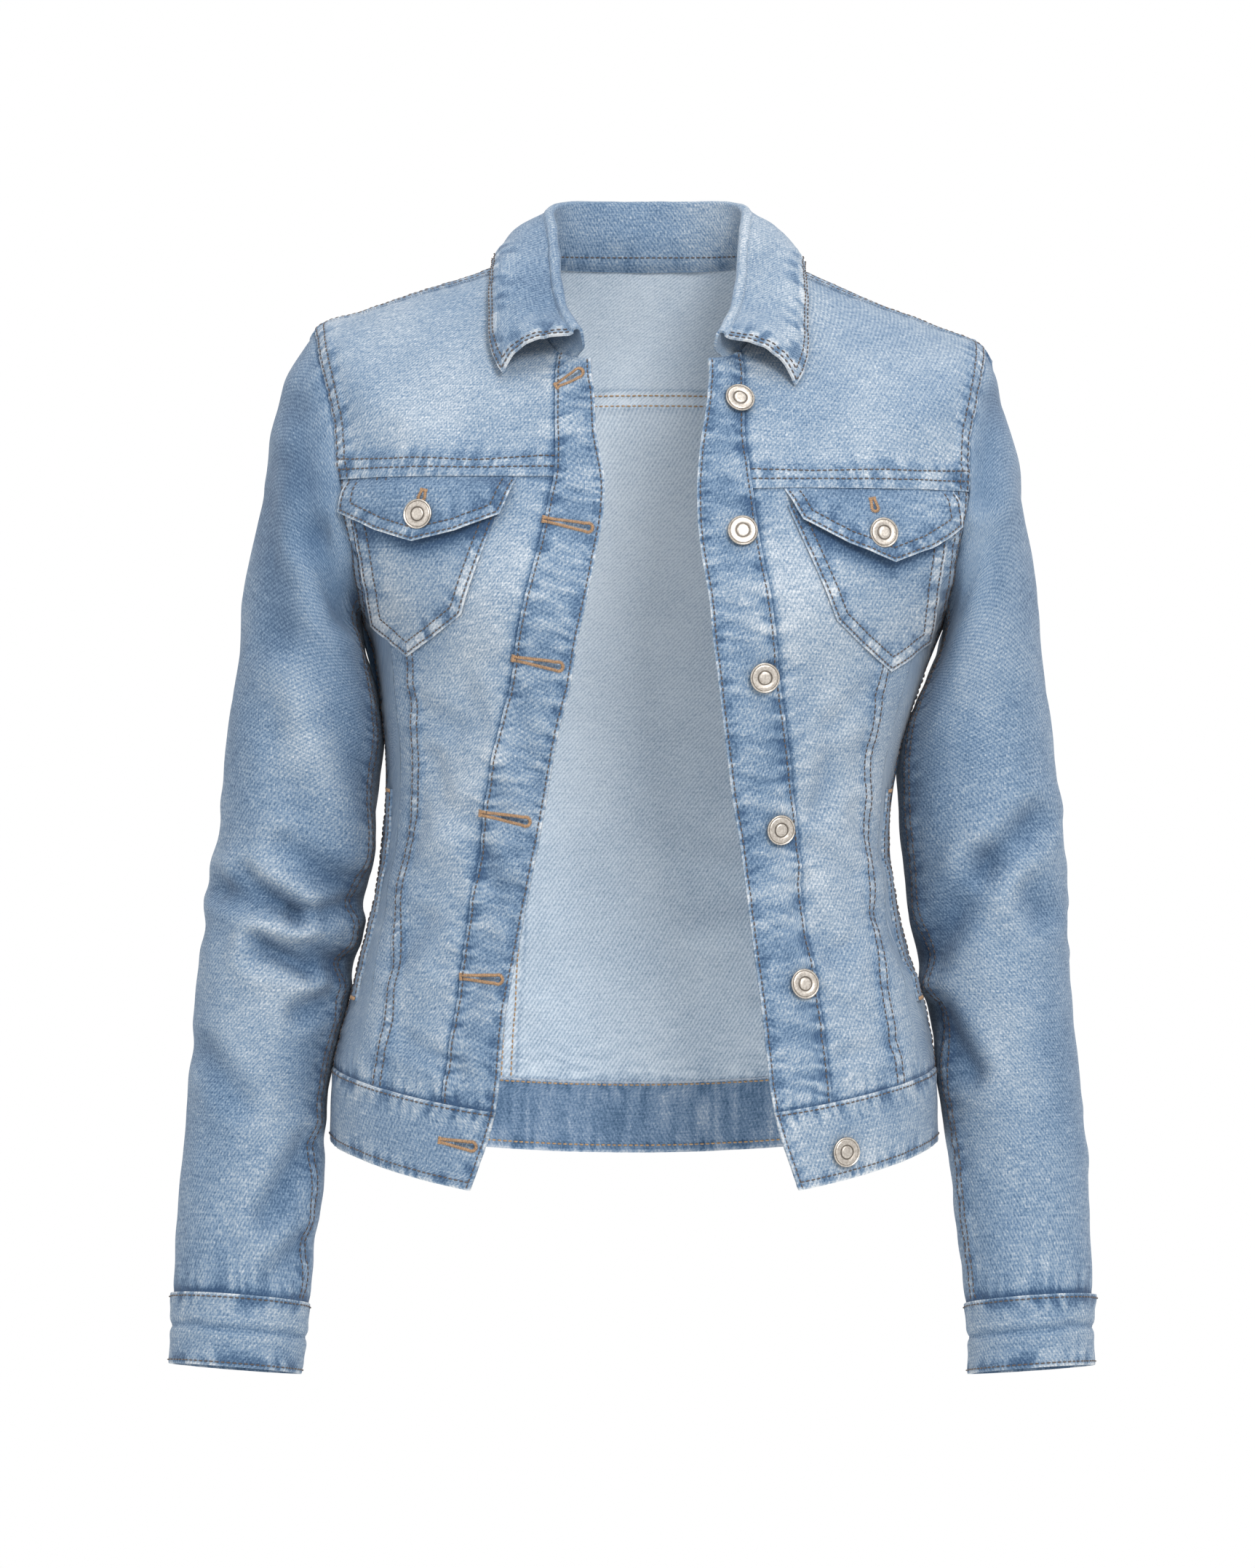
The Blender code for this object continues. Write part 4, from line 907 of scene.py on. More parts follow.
def body_panel(name, pitch, edges, across=(), down=(), thickness=CLOTH, finishes=(OUTSIDE, INSIDE)):
    """One cut panel as a wall of cloth between its edges, with columns or rows at some shares of its size."""
    surface = between(*edges)
    share = spread(surface, np.union1d(np.linspace(0, 1, 700), across), True, pitch)
    rows = spread(surface, np.union1d(np.linspace(0, 1, 900), down), False, pitch)
    angle, ring = surface(*np.meshgrid(share, rows))
    points, normals, wear = body_skin(name, angle, ring)
    fell, fell_wear_and_shade = inner_fell(name, angle, ring)
    middle = len(share) // 2 if name == "yoke_back" else 0
    cloth_map = woven(points, np.sign(angle[0, -1] - angle[0, 0]), middle)
    if name.startswith("yoke"):
        cloth_map[..., 1] = 0.6 * np.abs(points[..., 1]) - points[..., 2]
    inner_wear_and_shade = 0.5 + 0.6 * (wear - 0.5) + fell_wear_and_shade
    made = wall(name + "_cloth", points, normals, thickness, wear, cloth_map, finishes, fell, inner_wear_and_shade)
    sheet_of_cloth(made, name)


def shifted(line, more):
    """A seam line moved by some degrees or rings, for cloth that reaches beneath its neighbour."""
    return lambda place, share=0.0: line(place) + more


def far(line):
    """A lengthwise seam of the wearer's right, as degrees round from the left."""
    return lambda ring: 360 - line(ring)


band_end = steady(BAND_RING + LAP_RING)
back_yoke_lap = shifted(yoke_seam("back"), -LAP_RING)
back_stops = {side: armhole_stops("back", side, shoulder_seam, far(shoulder_seam), SHOULDER_RING) for side in BOTH}
far_stops = (1 - back_stops["right"][0][::-1], back_stops["right"][1][::-1])
near_edge, far_edge = (along_armhole(stops, yoke_seam("back")) for stops in (back_stops["left"], far_stops))


def back_yoke_edge(angle, share):
    return np.where(share < 0.5, near_edge(angle, share), far_edge(angle, share))


body_panel(
    "yoke_back", 2.4, (shoulder_seam, far(shoulder_seam), steady(0), back_yoke_edge),
    across=np.concatenate([back_stops["left"][0], far_stops[0]]),
)
body_panel(
    "back_center", 2.3,
    (seam("left", "back_princess"), far(seam("right", "back_princess")), back_yoke_lap, band_end),
)
for side in BOTH:
    edge, placket, princess, back_princess = (seam(side, name) for name in SEAM_COLUMNS)
    yoke, sign = yoke_seam("front", side), SIGN[side]
    yoke_lap = shifted(yoke, -LAP_RING)
    placket_lap, princess_lap = shifted(placket, -LAP_ANGLE), shifted(princess, -LAP_ANGLE)
    inner, outer = steady(SIDE_SEAM - LAP_ANGLE), shifted(back_princess, LAP_ANGLE)
    stops = armhole_stops("back", side, inner, outer, ARMPIT_RING)
    body_panel(
        f"back_side_{side}", 2.6, (inner, outer, along_armhole(stops, back_yoke_lap), band_end, sign), across=stops[0]
    )

    def yoke_outer_edge(ring, side=side):
        return np.minimum(shoulder_seam(ring) + LAP_ANGLE, armhole("front", side, ring))

    tip_rings = SHOULDER_RING + (corner_ring("front", side) - SHOULDER_RING) * eased(0, 1, 200) ** 2
    body_panel(
        f"yoke_front_{side}", 1.5, (placket_lap, yoke_outer_edge, steady(0), yoke, sign),
        down=tip_rings / yoke(sign * yoke_outer_edge(tip_rings)),
    )
    body_panel(f"front_center_{side}", 1.4, (placket_lap, princess, yoke_lap, band_end, sign))
    stops = armhole_stops("front", side, princess_lap, steady(SIDE_SEAM), ARMPIT_RING)
    body_panel(
        f"front_side_{side}", 1.6,
        (princess_lap, steady(SIDE_SEAM), along_armhole(stops, yoke_lap), band_end, sign), across=stops[0],
    )
    doubled = (edge, placket, steady(0), band_end, sign)
    body_panel(f"placket_{side}", 1.15, doubled, thickness=2.2, finishes=(OUTSIDE, OUTSIDE))
body_panel(
    "waistband", 1.5, (seam("left", "edge"), far(seam("right", "edge")), steady(BAND_RING), steady(HEM_RING)),
    thickness=2.7, finishes=(OUTSIDE, DEEP),
)

# Topstitching of the body
# Every felled seam is sewn down with two rows. Thread shows tan on the wrong side.

SEAM_SIDES = {
    "front_yoke": ("yoke_front", "up"), "back_yoke": ("yoke_back", "up"), "shoulder": ("yoke_back", "out"),
    "placket": ("placket", "in"), "edge": ("placket", "out"), "princess": ("front_center", "in"),
    "back_princess": ("back_center", "out"), "side": ("front_side", "in"), "armhole_front": ("front_side", "in"),
    "armhole_back": ("back_side", "out"), "band_top": ("waistband", "down"), "hem": ("waistband", "up"),
}
ROW_LIFT, SHOULDER_ROW_LIFT = 0.3, 0.05
INSIDE_THREAD = 1.15
outside_rows, inside_rows, band_rows = [], [], []
for side in BOTH:
    for seam_name, (owner, way) in SEAM_SIDES.items():
        angle, ring = seam_line(seam_name, side)
        name = owner if owner in BODY_SEAMS else f"{owner}_{side}"
        above = np.zeros(len(ring), bool)
        if seam_name.startswith("armhole"):
            above = ring < corner_ring(seam_name[8:], side)
        yoke = f"yoke_front_{side}" if seam_name == "armhole_front" else "yoke_back"
        lift = SHOULDER_ROW_LIFT if seam_name == "shoulder" else ROW_LIFT
        for row in FELLS[seam_name][1]:
            at_angle, at_ring = moved(angle, ring, row, way)
            for panel, part in ((yoke, above), (name, ~above)):
                if not part.any():
                    continue
                points, normals, _ = body_skin(panel, at_angle[part], at_ring[part])
                outside_rows.append((points + lift * normals, normals))
                if seam_name in ("back_yoke", "back_princess", "shoulder", "armhole_back"):
                    inside_rows.append((points - (CLOTH + 0.95) * normals, -normals))
                if seam_name in ("band_top", "hem"):
                    band_rows.append((points - 3.25 * normals, -normals))
sewn("body_topstitching", outside_rows, "taupe_thread")
sewn("inside_seam_stitching", inside_rows, "tan_thread", thickness=INSIDE_THREAD)
sewn("inside_band_stitching", band_rows, "tan_thread", thickness=INSIDE_THREAD)

# Chest pockets, their flaps and the side pocket welts
# Each pocket is a pointed patch sewn on with two rows. Its flap is caught under the yoke seam, hangs over it and
# buttons down. The side pockets show as a narrow welt with a bar tack at its ends.

PATCH_COLUMNS = (
    "inner_x", "outer_x", "top_z", "low_inner_x", "low_inner_z", "tip_x", "tip_z", "low_outer_x", "low_outer_z",
)
PATCHES = {
    "pocket": {
        "right": (83.0, 171.0, -150, 104.6, -217.5, 139.5, -241, 161.5, -222),
        "left": (78.5, 171.5, -156, 104.5, -221.0, 139.4, -249.5, 165.0, -231),
    },
    "pocket_flap": {
        "right": (74.0, 174.0, -136.2, 84.0, -162.0, 132.2, -176, 174.3, -156.5),
        "left": (75.5, 176.2, -143.2, 86.5, -165.0, 137.0, -187.5, 176.5, -165.5),
    },
}
PATCH_FELL = {"pocket": (7.6, (1.7, 7.0), 0.8, 0.25, 0.26), "pocket_flap": (7.6, (1.7, 7.0), 0.7, 0.25, 0.4)}
PATCH_CLOTH = 1.2
PATCH_TONE = {"pocket": 0.6, "pocket_flap": 0.41}
POCKET_LIFT = 1.7
FLAP_STEP, FLAP_RISE = 3.4, 6.4
PATCH_BOW = {"pocket": 0.6, "pocket_flap": 2.2}


def patch_outline(side, kind, inset=0.0):
    """Corners of a patch's sewn edge from its inner top to its outer top, moved inwards by a distance."""
    at = dict(zip(PATCH_COLUMNS, PATCHES[kind][side]))
    low = np.array([(at[f"{place}_x"], at[f"{place}_z"]) for place in ("low_inner", "tip", "low_outer")])
    middles = (low[1:] + low[:-1]) / 2 + (0, -PATCH_BOW[kind])
    corners = np.array([
        (at["inner_x"], at["top_z"]), low[0], middles[0], low[1], middles[1], low[2], (at["outer_x"], at["top_z"]),
    ]) * (SIGN[side], 1)
    ways = unit(np.diff(corners, axis=0))
    inwards = np.stack([-ways[:, 1], ways[:, 0]], -1) * SIGN[side]
    before, after = np.concatenate([inwards[:1], inwards]), np.concatenate([inwards, inwards[-1:]])
    return corners + (before + after) * inset / (1 + (before * after).sum(-1))[:, None]


def flat_path(corners, pitch=1.2):
    """A line through corners of the x-z plane, as closely spaced points."""
    spans = [
        start + (end - start) * np.linspace(0, 1, max(2, int(np.linalg.norm(end - start) / pitch)))[:, None]
        for start, end in zip(corners, corners[1:])
    ]
    points = np.concatenate([span[:-1] for span in spans] + [corners[-1:]])
    return np.stack([points[:, 0], 0 * points[:, 0], points[:, 1]], -1)


def patch_skin(side, kind, x, z):
    """Points, normals, and wear with painted shade, of a pocket or a flap at places of the x-z plane."""
    angle, ring = place_on_front(x, z)
    bare = bare_torso(angle, ring)
    points, normals = smooth_torso(angle, ring)
    distance, along = nearest(path_of(flat_path(patch_outline(side, kind))), np.stack([x, 0 * x, z], -1))
    more, rubbed_and_shaded = seam_relief(distance, along, "over", PATCH_FELL[kind], 90 + len(kind) + BOTH.index(side), pitch=5.0)
    height = crumple(bare, 5) + more
    drop = FRONT_YOKE_Z[side] - z
    if kind == "pocket":
        height = height + POCKET_LIFT
    else:
        wave = noise(x / 15, z / 40, 36) * smoothstep((drop - 8) / 20)
        height = height - 0.4 + FLAP_STEP * smoothstep((drop + 1) / 9) + FLAP_RISE * drop / 40 + 1.6 * wave
    wear = PATCH_TONE[kind] + rubbed_and_shaded + 0.06 * noise(bare[..., 0] / 30, bare[..., 2] / 30, 31)
    # A strip along the yoke seam is darkened: painted shade under the yoke's raised edge.
    wear = wear - 0.1 * hump(drop / 5)
    # Round the flap's lower edge the pocket is darkened: the flap's shadow, painted on.
    if kind == "pocket":
        gap, _ = nearest(path_of(flat_path(patch_outline(side, "pocket_flap"))), np.stack([x, 0 * x, z], -1))
        wear = wear - 0.6 * hump(gap / 8)
    return points + normals * height[..., None], normals, wear


patch_rows = []
for side in BOTH:
    for kind in ("pocket", "pocket_flap"):
        at = dict(zip(PATCH_COLUMNS, PATCHES[kind][side]))
        width, height = at["outer_x"] - at["inner_x"], at["top_z"] - at["tip_z"]
        low = patch_outline(side, kind)[1:-1] * (SIGN[side], 1)
        knots = (low[:, 0] - low[0, 0]) / (low[-1, 0] - low[0, 0])
        share, down = np.meshgrid(np.union1d(paced(width, 1.6), knots), paced(height, 1.6))
        low_x, low_z = np.interp(share, knots, low[:, 0]), np.interp(share, knots, low[:, 1])
        x = at["inner_x"] + width * share
        x, z = SIGN[side] * (x + (low_x - x) * down), at["top_z"] + (low_z - at["top_z"]) * down
        points, normals, wear = patch_skin(side, kind, x, z)
        name = f"{kind}_{side}"
        made = wall(name + "_cloth", points, normals, PATCH_CLOTH, wear, np.stack([x, -z], -1), (OUTSIDE, INSIDE))
        sheet_of_cloth(made, name)
        for inset in PATCH_FELL[kind][1]:
            line = flat_path(patch_outline(side, kind, inset))
            line = line[line[:, 2] < FRONT_YOKE_Z[side] - 1]
            points, normals, _ = patch_skin(side, kind, line[:, 0], line[:, 2])
            patch_rows.append((points + 0.35 * normals, normals))

WELT_ANGLE, WELT_WIDTH, WELT_LENGTH = 77.0, 12.0, 115
WELT_RINGS = (10.45, 13.1)
WELT_LIFT, WELT_CLOTH = 1.75, 1.2
SIDE_DEGREE = 2.45
tack_rows = []
for side in BOTH:
    name, sign = f"side_welt_{side}", SIGN[side]
    share, across = np.meshgrid(paced(WELT_LENGTH, 2.2), paced(WELT_WIDTH, 1.5), indexing="ij")
    ring = WELT_RINGS[0] + (WELT_RINGS[1] - WELT_RINGS[0]) * share
    angle = sign * WELT_ANGLE + (across - 0.5) * WELT_WIDTH / 2.5
    bare = bare_torso(angle, ring)
    points, normals = smooth_torso(angle, ring)
    edge = hump(np.minimum(across, 1 - across) * WELT_WIDTH / 0.9)
    ropes = noise(bare[..., 2] / 4.5, across * 2, 61)
    height = crumple(bare, 5) + WELT_LIFT - 0.5 * edge
    outer = points + normals * (height + 0.3 * ropes)[..., None]
    cloth_map = np.stack([angle * SIDE_DEGREE, -bare[..., 2]], -1)
    wear = 0.44 + 0.1 * ropes + 0.08 * edge
    made = wall(name + "_cloth", outer, normals, WELT_CLOTH, wear, cloth_map, (OUTSIDE, INSIDE))
    sheet_of_cloth(made, name)
    for share_across in (0.14, 0.86):
        at = round(share_across * (outer.shape[1] - 1))
        patch_rows.append(((outer + 0.12 * normals)[:, at], normals[:, at]))
    for end in (2, -3):
        tack_rows.append(((points + normals * (height + 0.5)[..., None])[end], normals[end]))
sewn("pocket_topstitching", patch_rows, "taupe_thread")

# Sleeves
# Two-piece sleeves, the under sleeve narrow. The top sleeve is felled over it along the back of the arm. Bending at
# the elbow has set folds across the inside, and the outside has worn pale.

SECTION_COLUMNS = ("outer_x", "outer_z", "inner_x", "inner_z", "mid_y", "half_depth", "front_rise")
SLEEVE = {
    "right": (
        (196.0, -47, 168.0, -214, 0, 58, 0), (214.0, -78, 168.8, -223, -1, 61, 0),
        (222.5, -112, 167.6, -236, -1, 62, 0), (230.0, -149, 163.0, -249, 0, 61.5, 0),
        (237.0, -196, 158.2, -268, 2, 59.5, 0), (243.5, -246, 156.0, -290, 5, 57, 0),
        (250.0, -295, 160.3, -322, 8, 55, 0), (257.0, -355, 165.5, -368, 11, 53, 0),
        (264.5, -402, 171.5, -410, 12, 51, 0), (268.5, -450, 180.9, -455, 10, 48.5, 1),
        (272.5, -495, 189.8, -500, 7, 45.5, 3), (276.5, -545, 193.0, -550, 2, 41.5, 5),
        (280.2, -614, 200.0, -620, -6, 38.0, 7),
    ),
    "left": (
        (198.0, -58, 174.0, -216, 0, 58, 0), (208.5, -86, 174.6, -225, -1, 61, 0),
        (215.0, -112, 171.6, -238, -1, 62, 0), (221.7, -148, 165.3, -251, 0, 61.5, 0),
        (228.0, -196, 157.0, -269, 2, 59.5, 0), (234.0, -246, 149.3, -290, 5, 57, 0),
        (241.0, -295, 147.6, -320, 8, 55, 0), (246.9, -355, 152.0, -366, 11, 53, 0),
        (249.5, -405, 158.0, -410, 12, 51, 0), (252.0, -450, 166.8, -455, 10, 48.5, 1),
        (256.0, -495, 172.8, -500, 7, 45.5, 3), (260.0, -545, 179.5, -550, 2, 41.5, 5),
        (262.6, -615, 187.0, -620, -6, 38.0, 7),
    ),
}
SLEEVE_END = 12.0
SLEEVE_LENGTH = 600
ARMHOLE_REACH = 2.5
SLEEVE_SEAMS = (160.0, 242.0)
SLEEVE_RADIUS = 48.0
# Millimetres round the sleeve for a degree, and along it for a section, by the armhole and over its whole length
SLEEVE_DEGREE, FIRST_SECTION, SECTION = 0.84, 34, 50
SLEEVE_CREASES = {
    "front": (
        (-206, -95, -193, -170, 11, 2.6), (-193, -170, -176, -215, 10, 3.0), (-222, -130, -212, -280, 13, 2.0),
        (-214, -250, -171, -352, 13, -3.0), (-250, -375, -210, -387, 8, 4.5), (-224, -412, -178, -421, 9, 5.0),
        (-212, -350, -172, -377, 8, 2.6), (-236, -366, -204, -391, 6, 3.4), (-204, -391, -168, -385, 6, 3.4),
        (-229, -404, -198, -424, 5, 3.0), (-186, -438, -204, -448, 7, 2.6), (-262, -470, -236, -500, 9, 2.2),
        (-200, -527, -222, -566, 9, 3.5), (-203, -584, -218, -600, 8, 2.5),
        (226, -335, 197, -362, 10, 4.2), (197, -362, 164, -415, 11, 4.0), (222, -376, 230, -388, 10, 2.8),
        (168, -447, 188, -482, 9, 3.8), (203, -92, 192, -145, 10, 2.4),
    ),
    "back": (
        (-230, -150, -205, -210, 13, 3.0), (-252, -340, -196, -372, 10, 4.5), (-258, -398, -200, -402, 9, 4.5),
        (-240, -505, -210, -545, 10, 3.0), (222, -150, 196, -205, 13, 3.0), (240, -345, 186, -372, 10, 4.5),
        (244, -400, 188, -408, 9, 4.5), (246, -520, 214, -560, 10, 3.0),
    ),
}


def section_ring(table, side, turn, section):
    """A sleeve or cuff section at an angle round it: 0 outer, 90 front, 180 inner, 270 back."""
    value = {name: column(table[side], SECTION_COLUMNS, name, section) for name in SECTION_COLUMNS}
    turn = np.radians(turn)
    half_x = (value["outer_x"] - value["inner_x"]) / 2
    half_z = (value["outer_z"] - value["inner_z"]) / 2
    x = value["inner_x"] + half_x + half_x * np.cos(turn)
    z = value["inner_z"] + half_z + half_z * np.cos(turn) + value["front_rise"] * np.sin(turn)
    y = value["mid_y"] - value["half_depth"] * np.sin(turn)
    return np.stack([SIGN[side] * x, y, z], axis=-1)


@functools.cache
def armhole_loop(side):
    """The armhole's edge on the torso at every quarter degree round the sleeve, matched by height."""
    turn, sign = np.linspace(0, 360, 1441), SIGN[side]
    top, bottom = (bare_torso(sign * 90, ring)[..., 2] for ring in (SHOULDER_RING, ARMPIT_RING))
    height = (top + bottom) / 2 + (top - bottom) / 2 * np.cos(np.radians(turn))

    def angle_at(ring):
        return sign * np.where(turn <= 180, armhole("front", side, ring), armhole("back", side, ring))

    def above(ring):
        return bare_torso(angle_at(ring), ring)[..., 2] > height

    ring = halved(above, np.full(turn.shape, SHOULDER_RING), np.full(turn.shape, ARMPIT_RING), 34)
    return turn, smooth_torso(angle_at(ring), ring)[0]


def sleeve_point(side, turn, section):
    """The sleeve's outer face, which starts on the armhole and settles into its own sections."""
    turns, loop = armhole_loop(side)
    rim = np.stack([np.interp(turn % 360, turns, loop[:, axis]) for axis in range(3)], -1)
    fade = 1 - smoothstep(section / ARMHOLE_REACH)
    start = section_ring(SLEEVE, side, turn, 0 * section)
    return section_ring(SLEEVE, side, turn, section) + (rim - start) * fade[..., None]


def grid_normals(points, middle):
    """Normals of a grid of points, turned away from the line through its middle."""
    down, across = np.gradient(points, axis=0), np.gradient(points, axis=1)
    normals = unit(np.cross(down, across))
    return normals * np.sign(((points - middle) * normals).sum())


def traced(points, normals, rows, columns, lift):
    """A line on a grid of points at fractional rows and columns, lifted off it. Either may be one number."""
    rows, columns = np.broadcast_arrays(np.asarray(rows, float), np.asarray(columns, float))
    row = np.minimum(rows.astype(int), points.shape[0] - 2)
    column_at = np.minimum(columns.astype(int), points.shape[1] - 2)
    part_row, part_column = (rows - row)[:, None], (columns - column_at)[:, None]

    def read(values):
        near = values[row, column_at] * (1 - part_column) + values[row, column_at + 1] * part_column
        below = values[row + 1, column_at] * (1 - part_column) + values[row + 1, column_at + 1] * part_column
        return near * (1 - part_row) + below * part_row

    return read(points) + lift * read(normals), read(normals)


SLEEVE_FADES = {
    "right": ((-216, -170, 40, 90, -0.12), (-222, -270, 18, 70, 0.05), (-222, -480, 26, 90, 0.13)),
    "left": ((206, -250, 22, 90, 0.03), (206, -480, 24, 90, 0.1)),
}
sleeve_rows = []
for side in BOTH:
    for half, start, end in (("top", SLEEVE_SEAMS[1] - 360, SLEEVE_SEAMS[0]), ("under", *SLEEVE_SEAMS)):
        lap = np.degrees(3 / SLEEVE_RADIUS) if half == "under" else 0
        girth = np.radians(end - start + 2 * lap) * SLEEVE_RADIUS
        turns = start - lap + (end - start + 2 * lap) * paced(girth, 2.1)
        sections = np.concatenate([[0.0], SLEEVE_END * paced(SLEEVE_LENGTH, 2.3), [SLEEVE_END]])
        turn, section = np.meshgrid(turns, sections)
        base = sleeve_point(side, turn, section)
        away = unit(sleeve_point(side, turn[:1], section[:1] + 0.15) - base[:1])
        middle = sleeve_point(side, turn + 180, section)
        base[-1] += unit(base[-1] - base[-3]) * 3
        normals = grid_normals(base[1:-1], (base + middle)[1:-1] / 2)
        normals = np.concatenate([normals[:1], normals, normals[-1:]])
        base[0] -= away[0] * 3 + normals[0] * 1.2
        depth = crease_depth(SLEEVE_CREASES, base, normals)
        round_it, along = turn * SLEEVE_DEGREE, section * SECTION
        height = crumple(base, 17, 30, 0.8) - 1.5 * depth
        # Darker in the crease troughs and paler on the ridges: painted shade of the folds.
        wear = 0.46 - 0.045 * np.clip(depth, -4, 6) + 0.05 * noise(base[..., 0] / 30, base[..., 2] / 42, 19)
        lengthwise = "over" if half == "top" else "under"
        for gap, line, kind, fell, seed in (
            (section * FIRST_SECTION, round_it, "under", "armhole_front", 200),
            (SLEEVE_LENGTH - along, round_it, "under", "band_top", 201),
            (np.abs(turn - start) * SLEEVE_DEGREE, along, lengthwise, "side", 202),
            (np.abs(turn - end) * SLEEVE_DEGREE, along, lengthwise, "side", 203),
        ):
            more, rubbed_and_shaded = seam_relief(gap, line, kind, FELLS[fell], seed + 10 * BOTH.index(side))
            height, wear = height + more, wear + rubbed_and_shaded
        # The sleeve is darkened where it faces the body and where it faces away: painted shade on its sides.
        facing_out = SIGN[side] * normals[..., 0]
        wear = wear - 0.1 * smoothstep(-1.6 * facing_out - 0.4) - 0.07 * smoothstep(1.6 * facing_out - 0.4)
        wear = faded(wear, base, normals, SLEEVE_FADES[side])
        points = base + normals * height[..., None]
        name, cloth_map = f"sleeve_{half}_{side}", np.stack([round_it, along], -1)
        made = wall(name + "_cloth", points, normals, CLOTH, wear, cloth_map, (OUTSIDE, INSIDE))
        sheet_of_cloth(made, name)
        if half == "top":
            rows = np.linspace(2, len(sections) - 3, 900)
            for gap in (1.9, 7.8):
                for at in (start + gap / SLEEVE_DEGREE, end - gap / SLEEVE_DEGREE):
                    columns = np.interp(at, turns, np.arange(len(turns)))
                    sleeve_rows.append(traced(points, normals, rows, columns, ROW_LIFT))
sewn("sleeve_topstitching", sleeve_rows, "taupe_thread")

# Cuffs
# A doubled band at each wrist, overlapped at the back and closed with a button. It creases across its middle.

CUFF = {
    "right": (
        (280.6, -614.4, 200.2, -620.4, -6, 38.0, 7), (280.4, -635.0, 202.6, -641.0, -7, 37.6, 6.5),
        (281.6, -655.5, 205.2, -661.5, -8, 36.8, 6),
    ),
    "left": (
        (263.0, -615.4, 187.0, -620.4, -6, 38.0, 7), (261.3, -636.0, 189.6, -641.0, -7, 37.6, 6.5),
        (262.6, -656.5, 189.5, -661.5, -8, 36.8, 6),
    ),
}
CUFF_CLOTH = 2.3
CUFF_GIRTH, CUFF_HEIGHT, CUFF_DEGREE = 250, 42, 0.67
CUFF_OVERLAP = 16.0
CUFF_OPENING = 285.0
CUFF_FELL = (3.0, (2.2,), 1.1, 0.15, 0.22)
CUFF_ROW_INSET = 2.2
overlap = np.degrees(CUFF_OVERLAP / 38.0)
share, down = np.meshgrid(paced(CUFF_GIRTH, 1.7), paced(CUFF_HEIGHT, 1.3))
turn = CUFF_OPENING - 360 + (360 + overlap) * share
cuff_rows = []
for side in BOTH:
    base = section_ring(CUFF, side, turn, 2 * down)
    middle = (base + section_ring(CUFF, side, turn + 180, 2 * down)) / 2
    over = smoothstep((share * (360 + overlap) - 360 + 20) / 20)
    normals = unit(base - middle)
    along = turn * CUFF_DEGREE
    crease = (down - 0.47 - 0.05 * noise(along / 30, along * 0, 78)) * CUFF_HEIGHT
    beside = hump((np.abs(crease) - 5) / 3.5)
    height = 0.9 + over * (CUFF_CLOTH + 0.4) + 0.5 * noise(along / 16, down * 2, 77)
    height = height - 1.1 * hump(crease / 2.0) + 0.4 * beside
    # Darker along the crease across the middle: painted shade.
    wear = 0.46 - 0.16 * hump(crease / 1.8) + 0.06 * beside
    for gap, seed in ((down * CUFF_HEIGHT, 300), ((1 - down) * CUFF_HEIGHT, 301)):
        more, rubbed_and_shaded = seam_relief(gap, along, "over", CUFF_FELL, seed + BOTH.index(side), pitch=5.0)
        height, wear = height + more, wear + rubbed_and_shaded
    points = base + normals * height[..., None]
    name, cloth_map = f"cuff_{side}", np.stack([along, down * CUFF_HEIGHT], -1)
    made = wall(name + "_cloth", points, normals, CUFF_CLOTH, wear, cloth_map, (OUTSIDE, DEEP))
    sheet_of_cloth(made, name)
    for gap in (CUFF_ROW_INSET, CUFF_HEIGHT - CUFF_ROW_INSET):
        row = np.interp(gap / CUFF_HEIGHT, down[:, 0], np.arange(len(down)))
        cuff_rows.append(traced(points, normals, row, np.linspace(2, points.shape[1] - 3, 900), 0.5))
    column_at = np.interp(1 - CUFF_ROW_INSET / CUFF_GIRTH, share[0], np.arange(share.shape[1]))
    cuff_rows.append(traced(points, normals, np.linspace(2, points.shape[0] - 3, 200), column_at, 0.35))
sewn("cuff_topstitching", cuff_rows, "taupe_thread")

# Collar
# One doubled piece: a low stand sewn round the neckline and a pointed leaf that folds over and lies on the yokes.
# Two rows of stitching follow the leaf's edge, which ropes between them.

COLLAR_COLUMNS = ("foot_angle", "fold_x", "fold_y", "fold_z", "leaf_angle", "leaf_ring", "leaf_lift")
COLLAR = (
    (33.0, 41.0, -89, -54.0, 42.0, 1.58, 5.5), (42.0, 45.5, -80, -46.5, 49.2, 1.44, 5.0),
    (52.0, 50.0, -66, -36.5, 59.2, 1.14, 4.5), (64.0, 53.5, -46, -20.0, 68.5, 0.93, 4.0),
    (78.0, 55.0, -23, -2.5, 79.0, 0.74, 3.8), (96.0, 57.0, 3, 17.0, 94.0, 0.66, 3.8),
    (115.0, 58.5, 24, 30.0, 113.0, 0.60, 4.2), (136.0, 49.0, 45, 36.5, 135.0, 0.52, 5.0),
    (158.0, 27.0, 60, 38.2, 158.0, 0.46, 6.0), (180.0, 0.0, 66, 38.5, 180.0, 0.45, 6.5),
)
COLLAR_CLOTH = 1.6
COLLAR_TIP_TILT = -3.0
COLLAR_KNEE = 3.3
COLLAR_FOLD = 3.6
COLLAR_BOW = 5.0
COLLAR_STAND_BOW = 2.0
COLLAR_FELL = (8.6, (2.2, 8.0), 0.95, 0.2, 0.36)
COLLAR_ROW_LIFT = 0.4


